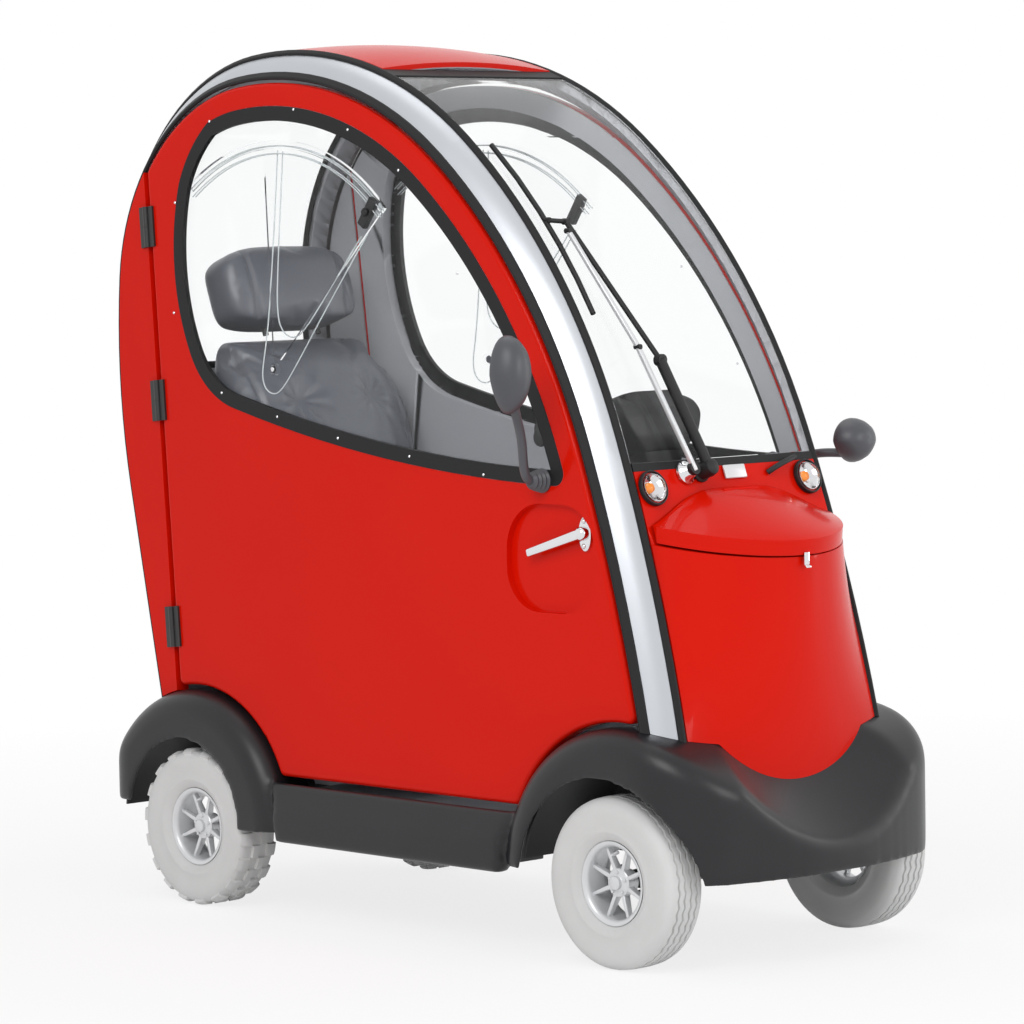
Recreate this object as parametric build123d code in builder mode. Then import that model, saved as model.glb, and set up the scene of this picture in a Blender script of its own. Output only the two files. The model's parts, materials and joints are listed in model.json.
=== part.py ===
"""Enclosed mobility scooter: a one-seat cabin on four small wheels, with two doors and a nose lid."""
import os
from math import asin, cos, degrees, radians, sin, sqrt, tan

from build123d import *

os.makedirs("parts", exist_ok=True)

# Frame: millimetres, +X forward, +Y to the vehicle's left, +Z up, ground at z = 0
RIGHT = -1
LEFT = 1
BOTH_SIDES = (("right", RIGHT), ("left", LEFT))

# Wheels
WHEELBASE = 1150
FRONT_AXLE_X = 605
REAR_AXLE_X = FRONT_AXLE_X - WHEELBASE
TRACK_HALF = 300
TYRE_R = 155
TYRE_W = 94
TYRE_CROWN_W = 62
TYRE_WALL_R = 128
RIM_R = 76
RIM_WALL = 8
RIM_W = 70
SPOKES = 8
SPOKE_W = 9
SPOKE_T = 10
HUB_R = 24
STUB_R = 11
AXLE_Z = TYRE_R

# Clearances
SEAT_GAP = 0.3
RUN_GAP = 0.3
MOVE_GAP = 6
DOOR_GAP = 8

# Side hoops: a chain of arcs in the leaned side plane, from the front foot over the roof to the rear foot
LEAN = 1.3
FOOT_HALF = 262
HOOP_START = (750.2, 215.4)
HOOP_HEADING = 98.7
HOOP_ARCS = (  # radius, turn in degrees
    (3500, 12.3),
    (1290, 30.7),
    (810, 45.75),
    (460, 78.6),
    (1480, 16.8),
)
HOOP_TAIL = 600
INNER_SEAL_W = 14
BAND_W = 47
OUTER_SEAL_W = 18.4
BAND_T = 18
BAND_CROWN = 3
SEAL_PROUD = 4
SEAL_T = 9
SEAL_ROUND = 4

# Lower body
ARCH_HALF = 354
BODY_Z = 162
WALL = 8
FRONT_ARCH_R = 275
FRONT_OPEN_AT = (588, 138)
FRONT_OPEN_R = 202
FRONT_HOUSING_R = 209
REAR_ARCH_X = -562
REAR_ARCH_R = 267
REAR_OPEN_AT = (-566, 163)
REAR_OPEN_R = 163
REAR_HOUSING_R = 187
TAIL_FOOT_Z = 188
NOSE_TIP_X = 857.8
NOSE_BOW_R = 840
NOSE_SHOULDER = 240
TAIL_TIP_X = -828
TAIL_BOW_R = 1800
TAIL_SHOULDER = 298
EDGE_ROUND = 46
DIP_X = 752
DIP_Z = 320
DIP_R = 447
DIP_SLOPE = 45
FIREWALL_X = 690
TAIL_WALL_X = -705
STRIP_HALF = 238
SILL_TOP_Z = 262
SILL_CREASE_Z = 200
SILL_BOTTOM_Z = 148
SILL_HALF = 356
SILL_IN_HALF = 318

# Panels between the hoops
SKIN_IN = 2
SKIN_T = 9
GLASS_IN = 4
GLASS_T = 5
ROOF_CROWN = 15
CROWN_IN = 30
HEADER_BAND = 34
COWL_TOP_Z = 880
SCREEN_SEAL = 14
HEADER_X = -70
REAR_HEADER_X = -640
REAR_SILL_Z = 1040

# Nose and lid
NOSE_FOOT_X = 751
NOSE_TOP_X = 768
NOSE_FOOT_Z = 320
NOSE_TOP_Z = 722
NOSE_BACK = 34
NOSE_LEVELS = (270, 520, 770)
NOSE_FLOOR_Z = 352
LID_PIN_Z = NOSE_TOP_Z + 114
LID_TILT = 11.5
LID_GAP = 4
LID_PIN_R = 5
LID_PIN_HALF = 46
LID_LUG = 22
LID_BACK = -240
COWL_FOOT_Z = 700
LID_ROWS = (  # rise above the seam, reach at the sides, reach in the middle, half width
    (-16, -139, 4, 232),
    (32, -152, 3, 230),
    (52, -164, -46, 176),
    (72, -176, -114, 124),
    (84, -184, -166, 54),
)
LID_WALL = 6

# Doors
DOOR_IN = 63.5
DOOR_W = 60
DOOR_T = 30
DOOR_BOTTOM_Z = SILL_TOP_Z + DOOR_GAP
DOOR_ROUND = 9
DOOR_CORNER = 14
HINGE_FOOT_X = -580
HINGE_SET = 4
QUARTER_IN = 58.4
HINGE_RAKE = 5.4
HINGE_W = 65
HINGE_Z = (541, 987, 1329)
HINGE_H = 80
HINGE_LEAF = 20
HINGE_R = 6
HINGE_PIN_R = 3
WINDOW_IN = 108
WINDOW_BAND = 28
WINDOW_T = 5
WINDOW_DEPTH = 8
WINDOW_CORNER = 22
BAND_PROUD = 1.5
WINDOW_BACK = (  # start, middle and end of each arc, from the top round the back to the front corner
    ((-301, 1575), (-525, 1527), (-610, 1411)),
    ((-610, 1411), (-626, 1290), (-575, 1078)),
    ((-575, 1078), (-530, 1020), (-439, 974)),
    ((-439, 974), (-30, 893), (430, 853)),
)
VENT_PIVOT = (-341, 1052)
VENT_R = 425
VENT_RAIL = 14
VENT_SPAN = (44, 126)
VENT_PANE = (44, 94)
VENT_T = 4
VENT_KNOB_R = 11
HANDLE_AT = (511, 770)
HANDLE_TIP = (374, 729)
HANDLE_R = 8
HANDLE_BOSS_R = 17
HANDLE_OUT = 10
RECESS_AT = (432, 722)
RECESS_SIZE = (226, 196)
RECESS_ROUND = 84
RECESS_DEPTH = 14

# Running gear
RAIL_HALF = 100
RAIL_W = 40
RAIL_H = 50
RAIL_Z = 185
RAIL_REAR_X = -790
HORN_L = 24
HORN_H = 20
KINGPIN_HALF = 235
KINGPIN_R = 8
BOSS_R = 14
BOSS_H = 44
BEAM_R = 18
YOKE_T = 12
YOKE_W = 34
ARM_L = 70
ARM_Z = 140
ARM_PIN_R = 5
ROD_Z = {"right": 153, "left": 166}
ROD_R = 5
EYE_R = 11
EYE_H = 11
POST_TOP_Z = 335
PITMAN_X = 555
POST_R = 14
FLOOR_T = 8
SILL_TOP_HALF = 335
HOUSING_HALF = 162
HOUSING_T = 6
HOUSING_DROP = 28
CROSS_X = (-330, 0, 330, PITMAN_X)
CROSS_W = 40
CROSS_UP = 10
OUTRIGGER_X = (-240, 300)
HITCH_X = -670
HITCH_W = 110
HITCH_T = 8
HITCH_HOLES_X = 70
HITCH_HOLES_Y = 110
HITCH_HOLE_R = 4.25
JACK_X = 150
JACK_L = 90
JACK_T = 6
FLOOR_TAIL_X = -700
FLOOR_REAR_X = REAR_ARCH_X + REAR_ARCH_R + SEAT_GAP
FLOOR_STEP_X = FRONT_AXLE_X - FRONT_ARCH_R - SEAT_GAP
FLOOR_FRONT_X = 690
FLOOR_HALF = SILL_IN_HALF - SEAT_GAP
DRIVE_HALF = 240
DRIVE_TUBE_R = 24
GEARCASE_R = 62
MOTOR_R = 52
MOTOR_L = 180
BATTERY_X = -160
BATTERY_SIZE = (260, 300, 200)

# Mirrors, lamps and wiper
MIRROR_FOOT = (414, 862)
MIRROR_FOOT_R = 20
MIRROR_FOOT_T = 14
MIRROR_ARM_R = 7
MIRROR_BEND = 40
MIRROR_T = 24
MIRROR_ROUND = 10
MIRRORS = {  # arm knee, head centre, half width and half height of the head
    "right": ((428, -362, 930), (457, -418, 1058), (40, 70)),
    "left": ((470, -356, 885), (528, -412, 905), (47, 42)),
}
LAMP_BASE = 6
LAMP_RIM = 3
LAMP_LENS = 12
FRONT_LAMP_HALF = 204
FRONT_LAMP_Z = COWL_TOP_Z - 31
FRONT_LAMP_R = 29
REAR_LAMP_HALF = 165
REAR_LAMP_Z = 560
REAR_LAMP_R = 42
WIPER_Z = COWL_TOP_Z - 8
WIPER_PIVOTS = (-110, -72)
WIPER_OUT = 30
WIPER_BOSS_R = 12
WIPER_RODS = (  # start and end as (across, height, stand-off from the hoop line), radius
    ((WIPER_PIVOTS[1], WIPER_Z + 4, 26), (-121, 1075, 34), 10),
    ((-121, 1075, 34), (-178, 1327, 24), 5),
    ((WIPER_PIVOTS[0], WIPER_Z + 4, 26), (-160, 1100, 30), 4),
    ((-160, 1100, 30), (-186, 1310, 24), 4),
    ((-178, 1327, 24), (-200, 1330, 6), 4.4),
)
WIPER_PIN = 7
BLADE_FOOT = (-206, 1160)
BLADE_TOP = (-196, 1470)
BLADE_STEPS = 5
BLADE_R = 5
BLADE_OUT = 2.6

# Dashboard, steering column and seat
DASH_TOP_Z = COWL_TOP_Z - 4
DASH_REAR_X = 452
DASH_LIP_Z = 815
DASH_SLOPE = 0.62
DASH_HALF = 228
SUPPORT_Z = 596
SUPPORT_T = 12
COLUMN_FOOT_Z = 342
COLUMN_RAKE = 17
COLUMN_R = 18
COLUMN_L = 620
TILLER_SIZE = (110, 150)
TILLER_ROUND = 26
TILLER_H = 70
BAR_R = 13
BAR_BEND = 40
BAR_RUN = ((-30, 60), (-62, 110), (-72, 195))
SEAT_Z = 590
SEAT_X = (-418, 30)
SEAT_HALF = 235
CUSHION_T = 95
SEAT_PLATE_X = (-530, 0)
SEAT_PLATE_W = 300
SEAT_PLATE_T = 12
BACK_FOOT_X = -410
BACK_LIFT = 6
BACK_RAKE = 19
BACK_T = 105
BACK_H = 462
RISER_W = 120
RISER_DOWN = 140
RISER_UP = 260
HEAD_GAP = 14
HEAD_SET = -8
HEAD_H = 168
HEAD_HALF = 175
HEAD_T = 95
HEAD_POST_R = 6
POST_HALF = 70
SOFT_ROUND = 30

WIDE = 2000
LEAN_TAN = tan(radians(LEAN))


def save(piece, name):
    """Label a finished piece and write it."""
    piece.part.label = name
    export_step(piece.part, f"parts/{name}.step")


def save_pair(piece, name):
    """Write the right-hand piece and its mirror image on the left."""
    with BuildPart() as other:
        mirror(piece.part, about=Plane.XZ)
    save(piece, f"{name}_right")
    save(other, f"{name}_left")


def save_both(piece, name):
    """Write the right-hand piece and its mirror image as one node."""
    with BuildPart() as both:
        add(piece.part)
        mirror(piece.part, about=Plane.XZ)
    save(both, name)


def side_plane(out=0.0):
    """The right-hand side's leaned plane, moved outwards from the inner seals."""
    lean = radians(LEAN)
    base = Plane(origin=(0, -FOOT_HALF, 0), x_dir=(1, 0, 0), z_dir=(0, -cos(lean), sin(lean)))
    return base.offset(out)


def side_half(z, out=0.0):
    """Half width of the leaned side at a height."""
    return FOOT_HALF + out - z * LEAN_TAN


def side_point(u, v, out):
    """Point of the leaned right-hand side as a place in the frame."""
    return side_plane(out).from_local_coords(Vector(u, v, 0))


def hoop_chain(inset):
    """Arcs of the hoop line at an inset (centre, radius, start angle, turn) and the ends of its tail."""
    heading = radians(HOOP_HEADING)
    x = HOOP_START[0] - inset * sin(heading)
    z = HOOP_START[1] + inset * cos(heading)
    arcs = []
    for radius, turn in HOOP_ARCS:
        r = radius - inset
        cx = x - r * sin(heading)
        cz = z + r * cos(heading)
        arcs.append(((cx, cz), r, degrees(heading) - 90, turn))
        heading += radians(turn)
        x = cx + r * sin(heading)
        z = cz - r * cos(heading)
    tail = (x + HOOP_TAIL * cos(heading), z + HOOP_TAIL * sin(heading))
    return arcs, (x, z), tail


def draw_hoop(inset):
    """Draw the hoop line as part of the open line."""
    arcs, tail_start, tail_end = hoop_chain(inset)
    for centre, radius, start, turn in arcs:
        CenterArc(centre, radius, start, turn)
    Line(tail_start, tail_end)


def hoop_outline(inset):
    """Everything inside the hoop line, closed straight across its feet."""
    arcs, tail_start, tail_end = hoop_chain(inset)
    centre, radius, start, turn = arcs[0]
    foot = (centre[0] + radius * cos(radians(start)), centre[1] + radius * sin(radians(start)))
    with BuildSketch() as outline:
        with BuildLine():
            draw_hoop(inset)
            Line(tail_end, foot)
        make_face()
    return outline.sketch


def front_x(z, inset=0.0):
    """Forward reach of the hoop line at a height of its front leg."""
    for (cx, cz), radius, start, turn in hoop_chain(inset)[0]:
        if degrees(asin((z - cz) / radius)) <= start + turn:
            break
    return cx + sqrt(radius**2 - (z - cz) ** 2)


def rear_x(z, inset=0.0):
    """Rearward reach of the hoop line at a height of its straight rear leg."""
    arcs, tail_start, tail_end = hoop_chain(inset)
    share = (tail_start[1] - z) / (tail_start[1] - tail_end[1])
    return tail_start[0] + share * (tail_end[0] - tail_start[0])


def hoop_section():
    """Plane across the hoop at its front foot: x from the inner seal to the door edge, y outwards."""
    heading = radians(HOOP_HEADING)
    base = side_plane()
    tangent = base.x_dir * cos(heading) + base.y_dir * sin(heading)
    inward = base.y_dir * cos(heading) - base.x_dir * sin(heading)
    origin = side_point(HOOP_START[0], HOOP_START[1], 0)
    return Plane(origin=origin, x_dir=inward + base.z_dir, z_dir=tangent)


def drum(x, z, radius, half=WIDE):
    """Solid drum about a wheel's axis, for trimming what stands on an arch."""
    with BuildPart(Plane(origin=(x, 0, z), x_dir=(1, 0, 0), z_dir=(0, 1, 0))) as cutter:
        Cylinder(radius, 2 * half)
    return cutter.part


def block(x0, x1, half, z0, z1):
    """Plain box about the middle plane."""
    with BuildPart(Plane.XY.offset(z0)) as cutter:
        with Locations(((x0 + x1) / 2, 0)):
            Box(x1 - x0, 2 * half, z1 - z0, align=(Align.CENTER, Align.CENTER, Align.MIN))
    return cutter.part


def rod(start, end, radius):
    """Round bar between two points."""
    start = Vector(*start)
    run = Vector(*end) - start
    with BuildPart(Plane(origin=start, z_dir=run)) as bar:
        Cylinder(radius, run.length, align=(Align.CENTER, Align.CENTER, Align.MIN))
    return bar.part


def bent_tube(points, bend, radius):
    """Round tube along straight runs with rounded bends."""
    with BuildPart() as tube:
        with BuildLine() as path:
            FilletPolyline(*points, radius=bend)
        with BuildSketch(Plane(origin=path.line @ 0, z_dir=path.line % 0)):
            Circle(radius)
        sweep()
    return tube.part


# Wheels

def make_wheel(name, x, side):
    """Rim and tyre of one wheel; the spoked face looks outwards."""
    centre = Vector(x, side * TRACK_HALF, AXLE_Z)
    spin = Plane(origin=centre, x_dir=(1, 0, 0), z_dir=(0, side, 0))
    across = Plane(origin=centre, x_dir=(1, 0, 0), z_dir=(0, 0, side))
    axle = Axis(centre, (0, side, 0))
    half = RIM_W / 2
    barrel = RIM_R - RIM_WALL
    with BuildPart() as rim:
        with BuildSketch(across):
            with BuildLine():
                Polyline(
                    (barrel, -half),
                    (RIM_R, -half),
                    (RIM_R, half),
                    (barrel - RIM_WALL, half),
                    (barrel - RIM_WALL, half - RIM_WALL),
                    (barrel, half - 2 * RIM_WALL),
                    close=True,
                )
            make_face()
        revolve(axis=axle)
        with BuildSketch(spin.offset(half - RIM_WALL - SPOKE_T)):
            with PolarLocations((HUB_R + barrel) / 2, SPOKES):
                Rectangle(barrel - HUB_R + RIM_WALL, SPOKE_W)
        extrude(amount=SPOKE_T)
        with BuildSketch(spin.offset(-half)):
            Circle(HUB_R)
        extrude(amount=RIM_W)
        with BuildSketch(spin.offset(-half)):
            Circle(STUB_R + RUN_GAP)
        extrude(amount=RIM_W - RIM_WALL, mode=Mode.SUBTRACT)
    save(rim, f"rim_{name}")

    bead = RIM_R + SEAT_GAP
    bead_w = half - 3
    wall_w = TYRE_W / 2
    crown_w = TYRE_CROWN_W / 2
    with BuildPart() as tyre:
        with BuildSketch(across):
            with BuildLine():
                Line((bead, 0), (bead, bead_w))
                ThreePointArc((bead, bead_w), ((bead + TYRE_WALL_R) / 2, wall_w - 2), (TYRE_WALL_R, wall_w))
                ThreePointArc((TYRE_WALL_R, wall_w), (TYRE_R - 9, crown_w + 8), (TYRE_R - 2, crown_w))
                Line((TYRE_R - 2, crown_w), (TYRE_R, crown_w / 2))
                Line((TYRE_R, crown_w / 2), (TYRE_R, 0))
                Line((TYRE_R, 0), (bead, 0))
            make_face()
            mirror(about=Plane.XZ)
        revolve(axis=axle)
    save(tyre, f"tyre_{name}")


for side_name, side in BOTH_SIDES:
    make_wheel(f"front_{side_name}", FRONT_AXLE_X, side)
    make_wheel(f"rear_{side_name}", REAR_AXLE_X, side)


# Lower body

def bumper_plan(tip, bow_r, shoulder, arch_x, inset):
    """Plan outline of a bumper: bowed end, corners tangent to it and straight sides along its arches."""
    way = 1 if tip > arch_x else -1
    bend = asin(shoulder / bow_r)
    corner_r = (ARCH_HALF - shoulder) / (1 - sin(bend))
    bow_x = tip - way * bow_r
    corner_x = bow_x + way * (bow_r - corner_r) * cos(bend)
    corner_y = (bow_r - corner_r) * sin(bend)
    half = ARCH_HALF - inset
    middle = (bend + radians(90)) / 2
    end = (bow_x + way * (bow_r - inset), 0)
    neck = (bow_x + way * (bow_r - inset) * cos(bend), (bow_r - inset) * sin(bend))
    turn = (corner_x + way * (corner_r - inset) * cos(middle), corner_y + (corner_r - inset) * sin(middle))
    with BuildSketch() as plan:
        with BuildLine():
            ThreePointArc((neck[0], -neck[1]), end, neck)
            ThreePointArc(neck, turn, (corner_x, half))
            Polyline((corner_x, half), (arch_x, half), (arch_x, -half), (corner_x, -half))
            ThreePointArc((corner_x, -half), (turn[0], -turn[1]), (neck[0], -neck[1]))
        make_face()
    return plan.sketch


def front_plan(inset):
    """Plan outline of the front bumper."""
    return bumper_plan(NOSE_TIP_X, NOSE_BOW_R, NOSE_SHOULDER, FRONT_AXLE_X - FRONT_ARCH_R, inset)


def rear_plan(inset):
    """Plan outline of the rear bumper."""
    return bumper_plan(TAIL_TIP_X, TAIL_BOW_R, TAIL_SHOULDER, REAR_ARCH_X + REAR_ARCH_R, inset)


def front_body(inset, edge_round=0.0):
    """Filled body of the front bumper: arched over the wheels and dipped in front of the nose."""
    slope = radians(DIP_SLOPE)
    dip_centre = (DIP_X + DIP_R * sin(slope), 0, DIP_Z + DIP_R * cos(slope))
    with BuildPart() as body:
        with BuildSketch(Plane.XY.offset(BODY_Z - inset)):
            add(front_plan(inset))
        extrude(amount=FRONT_ARCH_R + inset)
        add(drum(FRONT_AXLE_X, AXLE_Z, FRONT_ARCH_R - inset), mode=Mode.INTERSECT)
        with BuildSketch(Plane(origin=dip_centre, x_dir=(0, 1, 0), z_dir=(cos(slope), 0, -sin(slope)))):
            Circle(DIP_R + inset)
        extrude(amount=WIDE / 2, both=True, mode=Mode.SUBTRACT)
        add(block(0, FIREWALL_X, STRIP_HALF, 0, WIDE), mode=Mode.SUBTRACT)
        if edge_round:
            curved = body.edges().filter_by(lambda edge: edge.geom_type != GeomType.LINE)
            upper = curved.filter_by(lambda edge: edge.center().Z > BODY_Z + 1)
            open_edges = upper.filter_by(lambda edge: abs(edge.center().X - FIREWALL_X) > 1)
            fillet(open_edges.filter_by(lambda edge: abs(abs(edge.center().Y) - STRIP_HALF) > 1), edge_round)
    return body.part


def rear_body(inset, edge_round=0.0):
    """Filled body of the rear bumper: plan outline, arched over the wheels."""
    with BuildPart() as body:
        with BuildSketch(Plane.XY.offset(BODY_Z - inset)):
            add(rear_plan(inset))
        extrude(amount=REAR_ARCH_R + inset)
        add(drum(REAR_ARCH_X, AXLE_Z, REAR_ARCH_R - inset), mode=Mode.INTERSECT)
        add(block(TAIL_WALL_X, 0, STRIP_HALF, 0, WIDE), mode=Mode.SUBTRACT)
        if edge_round:
            curved = body.edges().filter_by(lambda edge: edge.geom_type != GeomType.LINE)
            upper = curved.filter_by(lambda edge: edge.center().Z > BODY_Z + 1)
            fillet(upper.filter_by(lambda edge: abs(abs(edge.center().Y) - STRIP_HALF) > 1), edge_round)
    return body.part


with BuildPart() as front_bumper:
    add(front_body(0, EDGE_ROUND))
    add(front_body(WALL, EDGE_ROUND - WALL), mode=Mode.SUBTRACT)
    add(drum(*FRONT_OPEN_AT, FRONT_OPEN_R), mode=Mode.SUBTRACT)
save(front_bumper, "front_bumper")

with BuildPart() as rear_bumper:
    add(rear_body(0, EDGE_ROUND))
    add(rear_body(WALL, EDGE_ROUND - WALL), mode=Mode.SUBTRACT)
    add(drum(*REAR_OPEN_AT, REAR_OPEN_R), mode=Mode.SUBTRACT)
    add(block(-WIDE, REAR_AXLE_X, WIDE, 0, TAIL_FOOT_Z), mode=Mode.SUBTRACT)
save(rear_bumper, "rear_bumper")

with BuildPart() as sill:
    with BuildSketch(Plane.YZ.offset(REAR_ARCH_X)):
        with BuildLine():
            Polyline(
                (-SILL_IN_HALF, SILL_TOP_Z),
                (-SILL_TOP_HALF, SILL_TOP_Z),
                (-SILL_HALF, SILL_CREASE_Z),
                (-SILL_HALF + 4, SILL_BOTTOM_Z),
                (-SILL_IN_HALF, SILL_BOTTOM_Z),
                close=True,
            )
        make_face()
    extrude(amount=FRONT_AXLE_X - REAR_ARCH_X)
    add(drum(FRONT_AXLE_X, AXLE_Z, FRONT_ARCH_R + SEAT_GAP), mode=Mode.SUBTRACT)
    add(drum(REAR_ARCH_X, AXLE_Z, REAR_ARCH_R + SEAT_GAP), mode=Mode.SUBTRACT)
save_both(sill, "sills")


def wheel_housing(x, open_r, plan):
    """Liner behind a wheel opening: a half drum with its inner wall inside the bumper, right-hand side."""
    outer_r = open_r + HOUSING_T
    width = ARCH_HALF - WALL - SEAT_GAP - HOUSING_HALF
    plane = Plane(origin=(x, -HOUSING_HALF, AXLE_Z), x_dir=(1, 0, 0), z_dir=(0, -1, 0))
    with BuildPart() as housing:
        with BuildSketch(plane):
            Circle(outer_r)
            with Locations((0, HOUSING_DROP)):
                Rectangle(4 * outer_r, 4 * outer_r, align=(Align.CENTER, Align.MAX), mode=Mode.SUBTRACT)
        extrude(amount=width)
        with BuildSketch(plane.offset(HOUSING_T)):
            Circle(open_r)
        extrude(amount=width, mode=Mode.SUBTRACT)
        with BuildSketch():
            add(plan)
        extrude(amount=WIDE, mode=Mode.INTERSECT)
    return housing.part


with BuildPart() as housings:
    add(wheel_housing(FRONT_AXLE_X, FRONT_HOUSING_R, front_plan(WALL + SEAT_GAP)))
    add(wheel_housing(REAR_ARCH_X, REAR_HOUSING_R, rear_plan(WALL + SEAT_GAP)))
save_both(housings, "wheel_housings")

# Chassis, floor and drive

rail_edge_y = RAIL_HALF + RAIL_W / 2
rail_front_x = NOSE_TIP_X - WALL - SEAT_GAP - NOSE_BOW_R + sqrt(NOSE_BOW_R**2 - rail_edge_y**2)
rail_top_z = RAIL_Z + RAIL_H
boss_top_z = AXLE_Z + BOSS_H / 2
boss_low_z = AXLE_Z - BOSS_H / 2

with BuildPart() as chassis:
    # Rails with low horns that reach into the front bumper
    with Locations((rail_front_x, 0, RAIL_Z)):
        with GridLocations(0, 2 * RAIL_HALF, 1, 2):
            Box(rail_front_x - RAIL_REAR_X, RAIL_W, HORN_H, align=(Align.MAX, Align.CENTER, Align.MIN))
    with Locations((RAIL_REAR_X, 0, RAIL_Z)):
        with GridLocations(0, 2 * RAIL_HALF, 1, 2):
            Box(rail_front_x - RAIL_REAR_X - HORN_L, RAIL_W, RAIL_H, align=(Align.MIN, Align.CENTER, Align.MIN))
    with Locations(*[(x, 0, RAIL_Z + CROSS_UP) for x in CROSS_X]):
        Box(CROSS_W, 2 * RAIL_HALF, RAIL_H - CROSS_UP, align=(Align.CENTER, Align.CENTER, Align.MIN))
    with Locations(*[(x, 0, rail_top_z) for x in OUTRIGGER_X]):
        Box(CROSS_W, 2 * SILL_IN_HALF - 2 * SEAT_GAP, CROSS_UP, align=(Align.CENTER, Align.CENTER, Align.MAX))
    # Front axle beam with its saddles under the rails
    beam_half = KINGPIN_HALF - YOKE_W
    add(rod((FRONT_AXLE_X, -beam_half, AXLE_Z), (FRONT_AXLE_X, beam_half, AXLE_Z), BEAM_R))
    with Locations((FRONT_AXLE_X, 0, AXLE_Z)):
        with GridLocations(0, 2 * RAIL_HALF, 1, 2):
            Box(2 * BEAM_R, RAIL_W, RAIL_Z - AXLE_Z, align=(Align.CENTER, Align.CENTER, Align.MIN))
    # Yokes with their kingpins
    for side_name, side in BOTH_SIDES:
        with Locations((FRONT_AXLE_X, side * (KINGPIN_HALF - YOKE_W), AXLE_Z)):
            Box(YOKE_W, YOKE_T, BOSS_H + 2 * YOKE_T)
        with Locations(
            (FRONT_AXLE_X, side * (KINGPIN_HALF - YOKE_W / 4), boss_top_z + RUN_GAP + YOKE_T / 2),
            (FRONT_AXLE_X, side * (KINGPIN_HALF - YOKE_W / 4), boss_low_z - RUN_GAP - YOKE_T / 2),
        ):
            Box(YOKE_W, 1.5 * YOKE_W, YOKE_T)
        with Locations((FRONT_AXLE_X, side * KINGPIN_HALF, AXLE_Z)):
            Cylinder(KINGPIN_R, BOSS_H + 2 * YOKE_T)
    # Socket of the pitman post
    with Locations((PITMAN_X, 0, RAIL_Z)):
        Cylinder(POST_R + WALL, RAIL_H, align=(Align.CENTER, Align.CENTER, Align.MIN))
        Cylinder(POST_R + RUN_GAP, 4 * RAIL_H, mode=Mode.SUBTRACT)
    # Hitch plate between the rails
    with Locations((HITCH_X, 0, RAIL_Z)):
        Box(HITCH_W, 2 * RAIL_HALF, HITCH_T, align=(Align.CENTER, Align.CENTER, Align.MIN))
        with GridLocations(HITCH_HOLES_X, HITCH_HOLES_Y, 2, 2):
            Cylinder(HITCH_HOLE_R, RAIL_H, mode=Mode.SUBTRACT)
    # Jack pads under the rails
    with Locations((JACK_X, 0, RAIL_Z)):
        with GridLocations(0, 2 * RAIL_HALF, 1, 2):
            Box(JACK_L, RAIL_W, JACK_T, align=(Align.CENTER, Align.CENTER, Align.MAX))
save(chassis, "chassis_frame")

strip_half = HOUSING_HALF - SEAT_GAP
with BuildPart() as floor_pan:
    with BuildSketch(Plane.XY.offset(rail_top_z)):
        with BuildLine():
            Polyline(
                (FLOOR_TAIL_X, 0),
                (FLOOR_TAIL_X, strip_half),
                (FLOOR_REAR_X, strip_half),
                (FLOOR_REAR_X, FLOOR_HALF),
                (FLOOR_STEP_X, FLOOR_HALF),
                (FLOOR_STEP_X, strip_half),
                (FLOOR_FRONT_X, strip_half),
                (FLOOR_FRONT_X, 0),
                close=True,
            )
        make_face()
        mirror(about=Plane.XZ)
        with Locations((PITMAN_X, 0)):
            Circle(POST_R + MOVE_GAP, mode=Mode.SUBTRACT)
    extrude(amount=FLOOR_T)
save(floor_pan, "floor_pan")

with BuildPart() as drive_unit:
    axle_reach = TRACK_HALF + RIM_W / 2 - RIM_WALL - 1
    add(rod((REAR_AXLE_X, -axle_reach, AXLE_Z), (REAR_AXLE_X, axle_reach, AXLE_Z), STUB_R))
    add(rod((REAR_AXLE_X, -DRIVE_HALF, AXLE_Z), (REAR_AXLE_X, DRIVE_HALF, AXLE_Z), DRIVE_TUBE_R))
    add(rod((REAR_AXLE_X, -45, AXLE_Z), (REAR_AXLE_X, 45, AXLE_Z), GEARCASE_R))
    add(rod((REAR_AXLE_X, 0, AXLE_Z), (REAR_AXLE_X + MOTOR_L, 0, AXLE_Z + 8), MOTOR_R))
    with Locations((REAR_AXLE_X, 0, RAIL_Z - SEAT_GAP)):
        with GridLocations(0, 2 * RAIL_HALF, 1, 2):
            Box(2 * DRIVE_TUBE_R, RAIL_W, RAIL_Z - AXLE_Z, align=(Align.CENTER, Align.CENTER, Align.MAX))
save(drive_unit, "drive_unit")

floor_z = rail_top_z + FLOOR_T
with BuildPart() as battery_pack:
    with Locations((BATTERY_X, 0, floor_z + SEAT_GAP)):
        Box(*BATTERY_SIZE, align=(Align.CENTER, Align.CENTER, Align.MIN))
save(battery_pack, "battery_pack")

# Steering linkage: every eye lies one arm behind its pivot, so the rods stay parallel


def steering_arm(x, y):
    """Arm behind a pivot with the pin that carries the rod eyes."""
    with BuildPart() as arm:
        with Locations((x - ARM_L / 2, y, ARM_Z)):
            Box(ARM_L, 2 * ARM_PIN_R + 6, EYE_H)
        with Locations((x - ARM_L, y, ARM_Z)):
            Cylinder(EYE_R, EYE_H)
            pin_h = ROD_Z["left"] - ARM_Z + EYE_H / 2
            Cylinder(ARM_PIN_R, pin_h, align=(Align.CENTER, Align.CENTER, Align.MIN))
    return arm.part


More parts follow.
